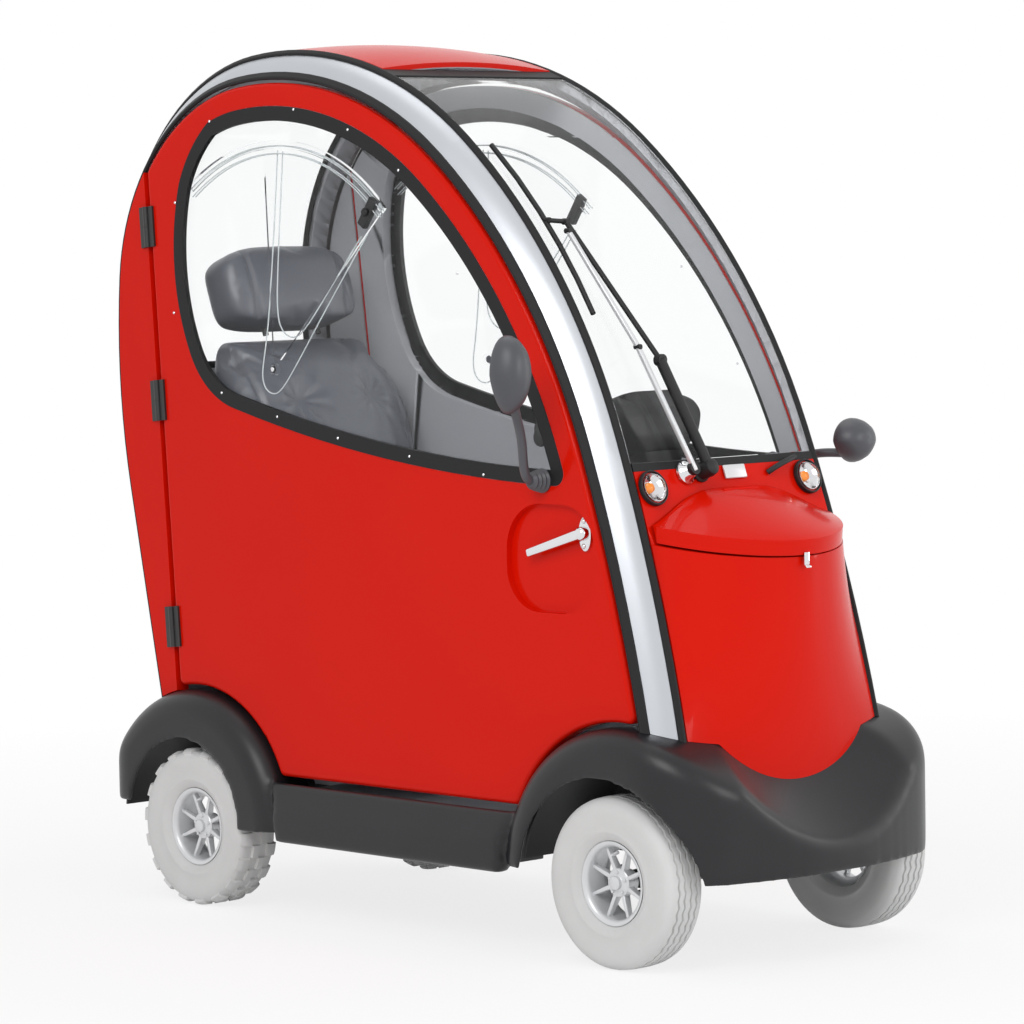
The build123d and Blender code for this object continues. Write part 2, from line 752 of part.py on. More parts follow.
for side_name, side in BOTH_SIDES:
    y = side * KINGPIN_HALF
    stub_end = side * (TRACK_HALF + RIM_W / 2 - RIM_WALL - 1)
    with BuildPart() as knuckle:
        add(steering_arm(FRONT_AXLE_X, y))
        add(rod((FRONT_AXLE_X, y, AXLE_Z), (FRONT_AXLE_X, stub_end, AXLE_Z), STUB_R))
        with Locations((FRONT_AXLE_X, y, AXLE_Z)):
            Cylinder(BOSS_R, BOSS_H)
            Cylinder(KINGPIN_R + RUN_GAP, 2 * BOSS_H, mode=Mode.SUBTRACT)
    save(knuckle, f"knuckle_{side_name}")

    inner = Vector(PITMAN_X - ARM_L, 0, ROD_Z[side_name])
    outer = Vector(FRONT_AXLE_X - ARM_L, y, ROD_Z[side_name])
    with BuildPart() as tie_rod:
        add(rod(inner, outer, ROD_R))
        with Locations(inner, outer):
            Cylinder(EYE_R, EYE_H)
            Cylinder(ARM_PIN_R + RUN_GAP, 2 * EYE_H, mode=Mode.SUBTRACT)
    save(tie_rod, f"tie_rod_{side_name}")

with BuildPart() as pitman:
    add(steering_arm(PITMAN_X, 0))
    with Locations((PITMAN_X, 0, ARM_Z - EYE_H / 2)):
        Cylinder(POST_R, POST_TOP_Z - ARM_Z + EYE_H / 2, align=(Align.CENTER, Align.CENTER, Align.MIN))
    with Locations((PITMAN_X, 0, RAIL_Z - RUN_GAP)):
        Cylinder(POST_R + WALL / 2, WALL, align=(Align.CENTER, Align.CENTER, Align.MAX))
save(pitman, "pitman_arm")

# Hoops and seals

with BuildPart() as hoop:
    with BuildLine(side_plane()):
        draw_hoop(0)
    with BuildSketch(hoop_section()):
        with BuildLine():
            start = INNER_SEAL_W + SEAT_GAP
            end = start + BAND_W
            ThreePointArc((start, 0), ((start + end) / 2, BAND_CROWN), (end, 0))
            Polyline((end, 0), (end - BAND_T / 2, -BAND_T), (start + BAND_T / 2, -BAND_T), (start, 0))
        make_face()
    sweep()
    add(drum(FRONT_AXLE_X, AXLE_Z, FRONT_ARCH_R + SEAT_GAP), mode=Mode.SUBTRACT)
    add(drum(REAR_ARCH_X, AXLE_Z, REAR_ARCH_R + SEAT_GAP), mode=Mode.SUBTRACT)
save_both(hoop, "side_hoops")

with BuildPart() as seal:
    with BuildLine(side_plane()):
        draw_hoop(0)
    with BuildSketch(hoop_section()):
        with Locations((INNER_SEAL_W / 2, (SEAL_PROUD - SEAL_T) / 2)):
            RectangleRounded(INNER_SEAL_W, SEAL_PROUD + SEAL_T, SEAL_ROUND)
        outer_seal_x = INNER_SEAL_W + BAND_W + 2 * SEAT_GAP + OUTER_SEAL_W / 2
        with Locations((outer_seal_x, (SEAL_PROUD - SEAL_T / 2) / 2)):
            RectangleRounded(OUTER_SEAL_W, SEAL_PROUD + SEAL_T / 2, SEAL_ROUND)
    sweep()
    add(drum(FRONT_AXLE_X, AXLE_Z, FRONT_ARCH_R + SEAT_GAP), mode=Mode.SUBTRACT)
    add(drum(REAR_ARCH_X, AXLE_Z, REAR_ARCH_R + SEAT_GAP), mode=Mode.SUBTRACT)
save_both(seal, "hoop_seals")

# Panels between the hoops

panel_out = -SEAL_ROUND - (SEAL_T - 2 * SEAL_ROUND) / sqrt(2) - SEAT_GAP


def between_hoops():
    """Everything between the two leaned sides, for trimming the panels there."""
    with BuildPart() as keep:
        with BuildSketch(Plane.YZ):
            with BuildLine():
                Polyline(
                    (-side_half(0, panel_out), 0),
                    (side_half(0, panel_out), 0),
                    (side_half(WIDE, panel_out), WIDE),
                    (-side_half(WIDE, panel_out), WIDE),
                    close=True,
                )
            make_face()
        extrude(amount=WIDE, both=True)
    return keep.part


def flat_band(inset, thickness):
    """Band along the hoop line, straight across the cabin."""
    with BuildPart() as band:
        with BuildSketch(Plane.XZ):
            add(hoop_outline(inset))
            add(hoop_outline(inset + thickness), mode=Mode.SUBTRACT)
        extrude(amount=FOOT_HALF, both=True)
        add(between_hoops(), mode=Mode.INTERSECT)
    return band.part


def crowned_band(inset, thickness):
    """Band along the hoop line, bowed outwards across the cabin."""
    heading = radians(HOOP_HEADING)
    start = (HOOP_START[0], 0, HOOP_START[1])
    half = FOOT_HALF - CROWN_IN
    with BuildPart() as band:
        with BuildLine(Plane.XZ):
            draw_hoop(0)
        with BuildSketch(Plane(origin=start, x_dir=(0, 1, 0), z_dir=(cos(heading), 0, sin(heading)))):
            with BuildLine():
                ThreePointArc((-half, inset), (0, inset - ROOF_CROWN), (half, inset))
                Line((half, inset), (half, inset + thickness))
                low = inset + thickness
                ThreePointArc((half, low), (0, low - ROOF_CROWN), (-half, low))
                Line((-half, inset + thickness), (-half, inset))
            make_face()
        sweep()
        add(between_hoops(), mode=Mode.INTERSECT)
    return band.part


glass = flat_band(GLASS_IN, GLASS_T)
skin = flat_band(SKIN_IN, SKIN_T)
crowned_skin = crowned_band(SKIN_IN, SKIN_T)
header_front = HEADER_X + HEADER_BAND / 2
header_back = HEADER_X - HEADER_BAND / 2
rear_header_front = REAR_HEADER_X + SCREEN_SEAL / 2
rear_header_back = REAR_HEADER_X - SCREEN_SEAL / 2
screen_foot_z = COWL_TOP_Z + SCREEN_SEAL
rear_glass_z = REAR_SILL_Z + SCREEN_SEAL

with BuildPart() as windscreen:
    add(glass)
    add(block(header_front + SEAT_GAP, WIDE, WIDE, screen_foot_z + SEAT_GAP, WIDE), mode=Mode.INTERSECT)
save(windscreen, "windscreen")

cross_strips = (  # rear end, front end, lower end, upper end
    (header_back, header_front, REAR_SILL_Z, WIDE),
    (0, WIDE, COWL_TOP_Z + SEAT_GAP, screen_foot_z),
    (rear_header_back, rear_header_front, rear_glass_z, WIDE),
    (-WIDE, 0, REAR_SILL_Z + SEAT_GAP, rear_glass_z),
)
strips = []
for rear_end, front_end, low_end, high_end in cross_strips:
    with BuildPart() as strip:
        add(skin)
        add(block(rear_end, front_end, WIDE, low_end, high_end), mode=Mode.INTERSECT)
    strips.append(strip.part)
with BuildPart() as cross_seals:
    add(strips)
save(cross_seals, "cross_seals")

with BuildPart() as roof_panel:
    add(crowned_skin)
    add(block(rear_header_front + SEAT_GAP, header_back - SEAT_GAP, WIDE, 1000, WIDE), mode=Mode.INTERSECT)
save(roof_panel, "roof_panel")

with BuildPart() as rear_window:
    add(glass)
    add(block(-WIDE, rear_header_back - SEAT_GAP, WIDE, rear_glass_z + SEAT_GAP, WIDE), mode=Mode.INTERSECT)
save(rear_window, "rear_window")

with BuildPart() as rear_panel:
    add(skin)
    add(block(-WIDE, REAR_ARCH_X, WIDE, 0, REAR_SILL_Z), mode=Mode.INTERSECT)
    add(drum(REAR_ARCH_X, AXLE_Z, REAR_ARCH_R + SEAT_GAP), mode=Mode.SUBTRACT)
save(rear_panel, "rear_panel")

# Nose, cowl and lid


def nose_front(z):
    """Forward reach of the nose on the middle plane."""
    return NOSE_FOOT_X + (NOSE_TOP_X - NOSE_FOOT_X) * (z - NOSE_FOOT_Z) / (NOSE_TOP_Z - NOSE_FOOT_Z)


def bowed_plan(z, side_x, tip_x, back_x, half):
    """Plan section with a bowed front, at a height."""
    with BuildSketch(Plane.XY.offset(z)) as plan:
        with BuildLine():
            ThreePointArc((side_x, -half), (tip_x, 0), (side_x, half))
            Polyline((side_x, half), (back_x, half), (back_x, -half), (side_x, -half))
        make_face()
    return plan.sketch


def nose_body(inset):
    """Filled nose between the hoops."""
    with BuildPart() as body:
        for z in NOSE_LEVELS:
            side_x = front_x(z, SKIN_IN) - inset
            tip_x = nose_front(z) - inset
            back_x = front_x(z, NOSE_BACK) + inset
            add(bowed_plan(z, side_x, tip_x, back_x, side_half(z, panel_out - inset)))
        loft()
    return body.part


lid_plane = Plane(
    origin=(NOSE_TOP_X, 0, NOSE_TOP_Z),
    x_dir=(cos(radians(LID_TILT)), 0, -sin(radians(LID_TILT))),
    z_dir=(sin(radians(LID_TILT)), 0, cos(radians(LID_TILT))),
)
lid_pin = (front_x(LID_PIN_Z, SKIN_IN) + 1, LID_PIN_Z)


with BuildPart() as nose_room:
    add(nose_body(WALL))
    add(block(0, WIDE, WIDE, NOSE_FLOOR_Z, WIDE), mode=Mode.INTERSECT)

with BuildPart() as cowl:
    add(skin)
    add(block(0, WIDE, WIDE, COWL_FOOT_Z, COWL_TOP_Z), mode=Mode.INTERSECT)

with BuildPart() as nose_panel:
    add(nose_body(0))
    add(nose_room.part, mode=Mode.SUBTRACT)
    with BuildSketch(lid_plane):
        Rectangle(WIDE, WIDE)
    extrude(amount=WIDE, mode=Mode.SUBTRACT)
    add(cowl.part)
    add(front_body(-SEAT_GAP), mode=Mode.SUBTRACT)
    pin_ends = [(lid_pin[0], side * LID_PIN_HALF, lid_pin[1]) for side in (-1, 1)]
    add(rod(*pin_ends, LID_PIN_R + RUN_GAP), mode=Mode.SUBTRACT)
save(nose_panel, "nose_panel")


def lid_plan(row, inset):
    """Bowed section of the lid, parallel to its seam."""
    rise, side_x, tip_x, half = row
    edge = half - inset
    with BuildSketch(lid_plane.offset(rise - inset)) as plan:
        with BuildLine():
            ThreePointArc((side_x, -edge), (tip_x - inset, 0), (side_x, edge))
            Polyline((side_x, edge), (LID_BACK, edge), (LID_BACK, -edge), (side_x, -edge))
        make_face()
    return plan.sketch


def lid_body(inset):
    """Filled lid: an upright rim under a dome that narrows to the hinge."""
    with BuildPart() as body:
        for rows in (LID_ROWS[:2], LID_ROWS[1:]):
            with BuildPart() as layer:
                for row in rows:
                    add(lid_plan(row, inset))
                loft()
            add(layer.part)
    return body.part


with BuildPart() as nose_lid:
    add(lid_body(0))
    add(lid_body(LID_WALL), mode=Mode.SUBTRACT)
    with BuildSketch(lid_plane.offset(LID_GAP)):
        Rectangle(WIDE, WIDE)
    extrude(amount=-WIDE, mode=Mode.SUBTRACT)
    with BuildSketch(Plane.XZ):
        add(hoop_outline(SKIN_IN - MOVE_GAP))
    extrude(amount=WIDE, both=True, mode=Mode.SUBTRACT)
    pin_end = LID_PIN_HALF - 1
    add(rod((lid_pin[0], -pin_end, lid_pin[1]), (lid_pin[0], pin_end, lid_pin[1]), LID_PIN_R))
    with Locations((lid_pin[0], 0, lid_pin[1])):
        Box(LID_LUG, 2 * pin_end, 2 * LID_PIN_R, align=(Align.MIN, Align.CENTER, Align.CENTER))
save(nose_lid, "nose_lid")

# Doors, built on the right and mirrored


def hinge_u(v):
    """Place of the raked hinge line along the side, at a height."""
    return HINGE_FOOT_X - v * tan(radians(HINGE_RAKE))


def side_keep(from_u):
    """Side region ahead of the hinge line and above the sill, clear of both arches."""
    with BuildSketch() as keep:
        with BuildLine():
            Polyline(
                (hinge_u(DOOR_BOTTOM_Z) + from_u, DOOR_BOTTOM_Z),
                (WIDE, DOOR_BOTTOM_Z),
                (WIDE, WIDE),
                (hinge_u(WIDE) + from_u, WIDE),
                close=True,
            )
        make_face()
    return keep.sketch


with BuildSketch() as door_outline:
    add(hoop_outline(DOOR_IN))
    add(side_keep(HINGE_SET), mode=Mode.INTERSECT)
    with Locations((FRONT_AXLE_X, AXLE_Z)):
        Circle(FRONT_ARCH_R + DOOR_GAP, mode=Mode.SUBTRACT)
    with Locations((REAR_ARCH_X, AXLE_Z)):
        Circle(REAR_ARCH_R + DOOR_GAP, mode=Mode.SUBTRACT)
    offset(amount=-DOOR_CORNER, mode=Mode.REPLACE)
    offset(amount=DOOR_CORNER, kind=Kind.ARC, mode=Mode.REPLACE)

with BuildSketch() as quarter_outline:
    add(hoop_outline(QUARTER_IN))
    add(side_keep(-HINGE_SET), mode=Mode.SUBTRACT)
    with Locations((0, 0)):
        Rectangle(2 * WIDE, 2 * DOOR_BOTTOM_Z, mode=Mode.SUBTRACT)
    with Locations((REAR_ARCH_X, AXLE_Z)):
        Circle(REAR_ARCH_R + SEAT_GAP, mode=Mode.SUBTRACT)

with BuildSketch() as window_outline:
    add(hoop_outline(WINDOW_IN))
    with BuildSketch(mode=Mode.INTERSECT):
        with BuildLine():
            for start, middle, end in WINDOW_BACK:
                ThreePointArc(start, middle, end)
            first, last = WINDOW_BACK[0][0], WINDOW_BACK[-1][2]
            Polyline(last, (WIDE, last[1]), (WIDE, WIDE), (first[0], WIDE), first)
        make_face()
    fillet(window_outline.vertices().sort_by(Axis.X)[-1], WINDOW_CORNER)

with BuildSketch() as handle_recess:
    with Locations(RECESS_AT):
        RectangleRounded(*RECESS_SIZE, RECESS_ROUND)

glass_out = DOOR_W - WINDOW_DEPTH

with BuildPart() as door_panel:
    with BuildSketch(side_plane(DOOR_W - DOOR_T)):
        add(door_outline.sketch)
    extrude(amount=DOOR_T)
    fillet(door_panel.faces().sort_by(Axis.Y)[0].edges(), DOOR_ROUND)
    with BuildSketch(side_plane(DOOR_W - DOOR_T)):
        add(window_outline.sketch)
    extrude(amount=DOOR_T, mode=Mode.SUBTRACT)
    with BuildSketch(side_plane(DOOR_W)):
        add(handle_recess.sketch)
    extrude(amount=-RECESS_DEPTH, mode=Mode.SUBTRACT)
save_pair(door_panel, "door_panel")

with BuildPart() as rear_quarter:
    with BuildSketch(side_plane(DOOR_W - DOOR_T)):
        add(quarter_outline.sketch)
    extrude(amount=DOOR_T)
save_both(rear_quarter, "rear_quarters")

with BuildPart() as door_window:
    with BuildSketch(side_plane(glass_out - WINDOW_T)):
        add(window_outline.sketch)
        offset(amount=-SEAT_GAP, mode=Mode.REPLACE)
    extrude(amount=WINDOW_T)
save_pair(door_window, "door_window")

with BuildPart() as window_band:
    with BuildSketch(side_plane(glass_out)):
        add(window_outline.sketch)
        offset(amount=-SEAT_GAP, mode=Mode.REPLACE)
        offset(amount=-WINDOW_BAND, mode=Mode.SUBTRACT)
    extrude(amount=WINDOW_DEPTH + BAND_PROUD)
save_pair(window_band, "window_band")

vent_out = glass_out - WINDOW_T - SEAT_GAP


def sector(inner_r, outer_r, span):
    """Sector of a ring about the vent's pivot."""
    low, high = radians(span[0]), radians(span[1])
    mid = (low + high) / 2
    with BuildSketch() as ring:
        with BuildLine():
            for radius in (inner_r, outer_r):
                ThreePointArc(
                    (radius * cos(low), radius * sin(low)),
                    (radius * cos(mid), radius * sin(mid)),
                    (radius * cos(high), radius * sin(high)),
                )
            for angle in (low, high):
                Line(*[(radius * cos(angle), radius * sin(angle)) for radius in (inner_r, outer_r)])
        make_face()
    return ring.sketch


with BuildPart() as door_vent:
    with BuildSketch(side_plane(vent_out)):
        with Locations(VENT_PIVOT):
            add(sector(VENT_KNOB_R / 2, VENT_R, VENT_PANE))
            Circle(VENT_KNOB_R)
    extrude(amount=-VENT_T)
    with BuildSketch(side_plane(vent_out)):
        with Locations(VENT_PIVOT):
            add(sector(VENT_R - 1, VENT_R + VENT_RAIL, VENT_SPAN))
            Circle(VENT_KNOB_R)
    extrude(amount=-2 * VENT_T)
save_pair(door_vent, "door_vent")

with BuildPart() as door_handle:
    with BuildSketch(side_plane(DOOR_W - RECESS_DEPTH + SEAT_GAP)):
        with Locations(HANDLE_AT):
            Circle(HANDLE_BOSS_R)
    extrude(amount=RECESS_DEPTH + HANDLE_OUT)
    lever_w = DOOR_W + HANDLE_OUT - HANDLE_R
    add(rod(side_point(*HANDLE_AT, lever_w), side_point(*HANDLE_TIP, lever_w), HANDLE_R))
save_pair(door_handle, "door_handle")


pin_in = HINGE_W - DOOR_W - SEAT_GAP


def hinge_plane(v):
    """Plane of a hinge on the door's face: y up the raked pin, z outwards."""
    base = side_plane(DOOR_W + SEAT_GAP)
    rake = radians(HINGE_RAKE)
    origin = side_point(hinge_u(v), v, DOOR_W + SEAT_GAP)
    return Plane(origin=origin, x_dir=base.x_dir * cos(rake) + base.y_dir * sin(rake), z_dir=base.z_dir)


def hinge_leaf(v, way, low, high):
    """Leaf ahead of the pin (way 1) or behind it (way -1), with its knuckle between two heights."""
    plane = hinge_plane(v)
    reach = HINGE_R + 1
    with BuildPart() as leaf:
        with BuildSketch(plane):
            with Locations((way * (reach + HINGE_LEAF) / 2, 0)):
                Rectangle(HINGE_LEAF - reach, HINGE_H)
            with Locations((way * reach / 2, (low + high) / 2)):
                Rectangle(reach, high - low)
        extrude(amount=pin_in)
        ends = [plane.from_local_coords(Vector(0, place, pin_in)) for place in (low, high)]
        add(rod(ends[0], ends[1], HINGE_R))
    return leaf.part


def hinge_pin(v, radius):
    """Pin through both knuckles of a hinge."""
    plane = hinge_plane(v)
    ends = [plane.from_local_coords(Vector(0, place, pin_in)) for place in (-HINGE_H / 2, HINGE_H / 2)]
    return rod(ends[0], ends[1], radius)


with BuildPart() as door_hinges:
    for v in HINGE_Z:
        add(hinge_leaf(v, 1, -HINGE_H / 2, -RUN_GAP))
    for v in HINGE_Z:
        add(hinge_pin(v, HINGE_PIN_R + RUN_GAP), mode=Mode.SUBTRACT)
save_pair(door_hinges, "door_hinges")

with BuildPart() as body_hinges:
    for v in HINGE_Z:
        add(hinge_leaf(v, -1, RUN_GAP, HINGE_H / 2))
        add(hinge_pin(v, HINGE_PIN_R))
save_both(body_hinges, "body_hinges")


def door_mirror(arm_knee, head, half_size):
    """Mirror on the right-hand door: foot, bent arm and an oval head that faces the driver."""
    foot = side_point(*MIRROR_FOOT, DOOR_W + BAND_PROUD + SEAT_GAP)
    out = side_plane().z_dir
    with BuildPart() as piece:
        add(rod(foot, foot + out * MIRROR_FOOT_T, MIRROR_FOOT_R))
        arm = (foot + out * MIRROR_FOOT_T / 2, Vector(*arm_knee), Vector(*head))
        add(bent_tube(arm, MIRROR_BEND, MIRROR_ARM_R))
        with BuildSketch(Plane(origin=head, x_dir=(0, 1, 0), z_dir=(1, 0, 0)).offset(-MIRROR_T / 2)):
            Ellipse(*half_size)
        extrude(amount=MIRROR_T)
        fillet(piece.faces().sort_by(Axis.X)[-1].edges(), MIRROR_ROUND)
    return piece


save(door_mirror(*MIRRORS["right"]), "mirror_right")
with BuildPart() as mirror_left:
    mirror(door_mirror(*MIRRORS["left"]).part, about=Plane.XZ)
save(mirror_left, "mirror_left")

# Lamps and wiper


def cowl_plane(y, z):
    """Plane on the cowl's face, facing outwards."""
    lift = front_x(z, SKIN_IN) - front_x(z + 1, SKIN_IN)
    return Plane(origin=(front_x(z, SKIN_IN), y, z), x_dir=(0, 1, 0), z_dir=(1, 0, lift))


def round_lamp(plane, radius):
    """Round lamp with a raised lens."""
    with BuildPart() as lamp:
        with BuildSketch(plane.offset(SEAT_GAP)):
            Circle(radius)
        extrude(amount=LAMP_BASE)
        with BuildSketch(plane.offset(SEAT_GAP + LAMP_BASE)):
            Circle(radius - LAMP_RIM)
        extrude(amount=LAMP_LENS)
        top = lamp.faces().sort_by(lambda face: (face.center() - plane.origin).dot(plane.z_dir))[-1]
        fillet(top.edges(), LAMP_LENS - 1)
    return lamp


save_both(round_lamp(cowl_plane(-FRONT_LAMP_HALF, FRONT_LAMP_Z), FRONT_LAMP_R), "front_lamps")

tail_heading = radians(HOOP_HEADING + sum(turn for radius, turn in HOOP_ARCS))
tail_plane = Plane(
    origin=(rear_x(REAR_LAMP_Z, SKIN_IN), -REAR_LAMP_HALF, REAR_LAMP_Z),
    x_dir=(0, 1, 0),
    z_dir=(sin(tail_heading), 0, -cos(tail_heading)),
)
save_both(round_lamp(tail_plane, REAR_LAMP_R), "rear_lamps")

with BuildPart() as wiper:
    for y in WIPER_PIVOTS:
        pivot = cowl_plane(y, WIPER_Z)
        boss = [pivot.from_local_coords(Vector(0, 0, out)) for out in (SEAT_GAP, WIPER_OUT)]
        add(rod(*boss, WIPER_BOSS_R))
    for start, end, radius in WIPER_RODS:
        ends = [Vector(front_x(z, -out), y, z) for y, z, out in (start, end)]
        add(rod(ends[0], ends[1], radius))
        add(rod(ends[1] - Vector(WIPER_PIN, 0, 0), ends[1] + Vector(WIPER_PIN, 0, 0), radius + 1))
    blade = []
    for step in range(BLADE_STEPS + 1):
        share = step / BLADE_STEPS
        y = BLADE_FOOT[0] + share * (BLADE_TOP[0] - BLADE_FOOT[0])
        z = BLADE_FOOT[1] + share * (BLADE_TOP[1] - BLADE_FOOT[1])
        blade.append(Vector(front_x(z, -BLADE_OUT), y, z))
    for start, end in zip(blade, blade[1:]):
        add(rod(start, end, BLADE_R))
save(wiper, "wiper")

# Dashboard and steering column

with BuildPart() as dashboard:
    with BuildSketch(Plane.XZ) as dash_side:
        add(hoop_outline(NOSE_BACK + SEAT_GAP))
        with BuildSketch(mode=Mode.INTERSECT):
            with BuildLine():
                Polyline(
                    (WIDE, DASH_TOP_Z),
                    (DASH_REAR_X + 20, DASH_TOP_Z),
                    (DASH_REAR_X, DASH_TOP_Z - 20),
                    (DASH_REAR_X, DASH_LIP_Z),
                    (WIDE, DASH_LIP_Z - (WIDE - DASH_REAR_X) * DASH_SLOPE),
                    close=True,
                )
            make_face()
    extrude(amount=DASH_HALF, both=True)
save(dashboard, "dashboard")

column = Plane(
    origin=(PITMAN_X, 0, COLUMN_FOOT_Z),
    x_dir=(cos(radians(COLUMN_RAKE)), 0, sin(radians(COLUMN_RAKE))),
    z_dir=(-sin(radians(COLUMN_RAKE)), 0, cos(radians(COLUMN_RAKE))),
)
column_at_support = PITMAN_X - (SUPPORT_Z - COLUMN_FOOT_Z) * tan(radians(COLUMN_RAKE))
support_front = front_x(SUPPORT_Z + SUPPORT_T, NOSE_BACK) - SEAT_GAP
support_back = column_at_support - COLUMN_R - 2 * WALL

with BuildPart() as column_support:
    with Locations((support_back, 0, SUPPORT_Z)):
        Box(support_front - support_back, 2 * (COLUMN_R + WALL), SUPPORT_T,
            align=(Align.MIN, Align.CENTER, Align.MIN))
    with BuildSketch(column):
        Circle(COLUMN_R + RUN_GAP)
    extrude(amount=WIDE, mode=Mode.SUBTRACT)
save(column_support, "column_support")

bar_z = COLUMN_L + TILLER_H / 2
with BuildPart() as steering_column:
    with BuildSketch(column):
        Circle(COLUMN_R)
    extrude(amount=COLUMN_L)
    with BuildSketch(column.offset(COLUMN_L - 5)):
        RectangleRounded(*TILLER_SIZE, TILLER_ROUND)
    extrude(amount=TILLER_H)
    for side_name, side in BOTH_SIDES:
        run = [column.from_local_coords(Vector(x, side * y, bar_z)) for x, y in BAR_RUN]
        add(bent_tube(run, BAR_BEND, BAR_R))
save(steering_column, "steering_column")

# Seat

with BuildPart() as seat_frame:
    foot_z = floor_z + SEAT_GAP
    top_z = SEAT_Z - SEAT_GAP
    with Locations((BATTERY_X, 0, foot_z)):
        Box(BATTERY_SIZE[0] + 4 * WALL, BATTERY_SIZE[1] + 4 * WALL, top_z - foot_z,
            align=(Align.CENTER, Align.CENTER, Align.MIN))
        Box(BATTERY_SIZE[0] + 2 * WALL, BATTERY_SIZE[1] + 2 * WALL, top_z - foot_z - SEAT_PLATE_T,
            align=(Align.CENTER, Align.CENTER, Align.MIN), mode=Mode.SUBTRACT)
    with Locations((SEAT_PLATE_X[0], 0, top_z)):
        plate_l = SEAT_PLATE_X[1] - SEAT_PLATE_X[0]
        Box(plate_l, SEAT_PLATE_W, SEAT_PLATE_T, align=(Align.MIN, Align.CENTER, Align.MAX))
    back = Plane(
        origin=(BACK_FOOT_X, 0, SEAT_Z + CUSHION_T + BACK_LIFT),
        x_dir=(cos(radians(BACK_RAKE)), 0, sin(radians(BACK_RAKE))),
        z_dir=(-sin(radians(BACK_RAKE)), 0, cos(radians(BACK_RAKE))),
    )
    with BuildSketch(back.offset(-RISER_DOWN)):
        with Locations((-BACK_T - SEAT_GAP - WALL / 2, 0)):
            Rectangle(WALL, RISER_W)
    extrude(amount=RISER_DOWN + RISER_UP)
    for side_name, side in BOTH_SIDES:
        post = [back.from_local_coords(Vector(HEAD_SET - HEAD_T / 2, side * POST_HALF, place))
                for place in (BACK_H + SEAT_GAP, BACK_H + HEAD_GAP - SEAT_GAP)]
        add(rod(post[0], post[1], HEAD_POST_R))
save(seat_frame, "seat_frame")


def cushion(plane, x0, x1, half, height, edge_round):
    """Soft block on a plane with rounded edges."""
    with BuildPart() as soft:
        with BuildSketch(plane):
            with Locations(((x0 + x1) / 2, 0)):
                RectangleRounded(x1 - x0, 2 * half, edge_round)
        extrude(amount=height)
        fillet(soft.faces().sort_by(lambda face: (face.center() - plane.origin).dot(plane.z_dir))[-1].edges(),
               edge_round * 0.8)
    return soft


save(cushion(Plane.XY.offset(SEAT_Z), SEAT_X[0], SEAT_X[1], SEAT_HALF, CUSHION_T, SOFT_ROUND), "seat_cushion")
save(cushion(back, -BACK_T, 0, SEAT_HALF, BACK_H, SOFT_ROUND), "seat_backrest")
save(cushion(back.offset(BACK_H + HEAD_GAP), HEAD_SET - HEAD_T, HEAD_SET, HEAD_HALF, HEAD_H, SOFT_ROUND),
     "seat_headrest")
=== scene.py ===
# %% [markdown]
# # An enclosed mobility scooter, dressed for its portrait
#
# A small cabin on four wheels was drawn as solids first. This notebook loads those solids as a fixed
# frame and gives them paint, rubber, glass and upholstery, with the pieces that only a renderer needs:
# tread, padding, linings and trim. Everything is in metres, +X forward, +Y to the vehicle's left, +Z
# up.

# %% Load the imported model
import json
from math import atan2, cos, exp, pi, radians, sin, sqrt

import bpy
from mathutils import Matrix, Vector


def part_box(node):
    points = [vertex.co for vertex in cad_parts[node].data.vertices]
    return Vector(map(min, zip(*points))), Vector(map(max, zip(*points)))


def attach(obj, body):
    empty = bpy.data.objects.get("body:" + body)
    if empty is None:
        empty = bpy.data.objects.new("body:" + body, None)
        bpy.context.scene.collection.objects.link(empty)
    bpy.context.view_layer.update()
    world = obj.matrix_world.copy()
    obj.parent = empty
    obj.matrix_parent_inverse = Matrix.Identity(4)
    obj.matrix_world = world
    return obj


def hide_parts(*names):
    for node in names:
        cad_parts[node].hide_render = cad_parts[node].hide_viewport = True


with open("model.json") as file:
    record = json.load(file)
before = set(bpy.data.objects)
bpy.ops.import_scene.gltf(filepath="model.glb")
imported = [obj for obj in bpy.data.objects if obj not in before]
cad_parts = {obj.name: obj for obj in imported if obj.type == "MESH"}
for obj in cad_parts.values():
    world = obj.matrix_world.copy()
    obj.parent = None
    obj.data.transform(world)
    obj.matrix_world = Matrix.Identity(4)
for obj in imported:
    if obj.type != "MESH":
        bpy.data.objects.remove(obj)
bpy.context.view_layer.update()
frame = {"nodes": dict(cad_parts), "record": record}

nodes = frame["nodes"]

# %% [markdown]
# ## The camera
#
# The picture was taken from the front right with a long lens, at about chest height, and the horizon
# leans by a degree. Building the camera's three axes by hand keeps each of those numbers visible, which
# a tracking constraint would hide.

# %% Camera at the photograph's place
AZIMUTH = radians(46.26)
ELEVATION = radians(3.82)
ROLL = radians(0.98)
DISTANCE = 8.278
LENS = 152.3
SENSOR_WIDTH = 36
AIM = Vector((0.030, 0, 0.775))
SHIFT_LEFT = 0.0099

back = Vector((sin(AZIMUTH) * cos(ELEVATION), -cos(AZIMUTH) * cos(ELEVATION), sin(ELEVATION)))
level = Vector((cos(AZIMUTH), sin(AZIMUTH), 0))
above = back.cross(level)
right = cos(ROLL) * level - sin(ROLL) * above
top = sin(ROLL) * level + cos(ROLL) * above
eye = AIM - SHIFT_LEFT * level + DISTANCE * back

bpy.ops.object.select_all(action="DESELECT")
bpy.ops.object.camera_add()
camera = bpy.context.object
camera.name = "portrait_camera"
camera.matrix_world = Matrix((
    (right.x, top.x, back.x, eye.x),
    (right.y, top.y, back.y, eye.y),
    (right.z, top.z, back.z, eye.z),
    (0, 0, 0, 1),
))
camera.data.lens = LENS
camera.data.sensor_width = SENSOR_WIDTH
bpy.context.scene.camera = camera
print("camera at", [round(value, 3) for value in eye])

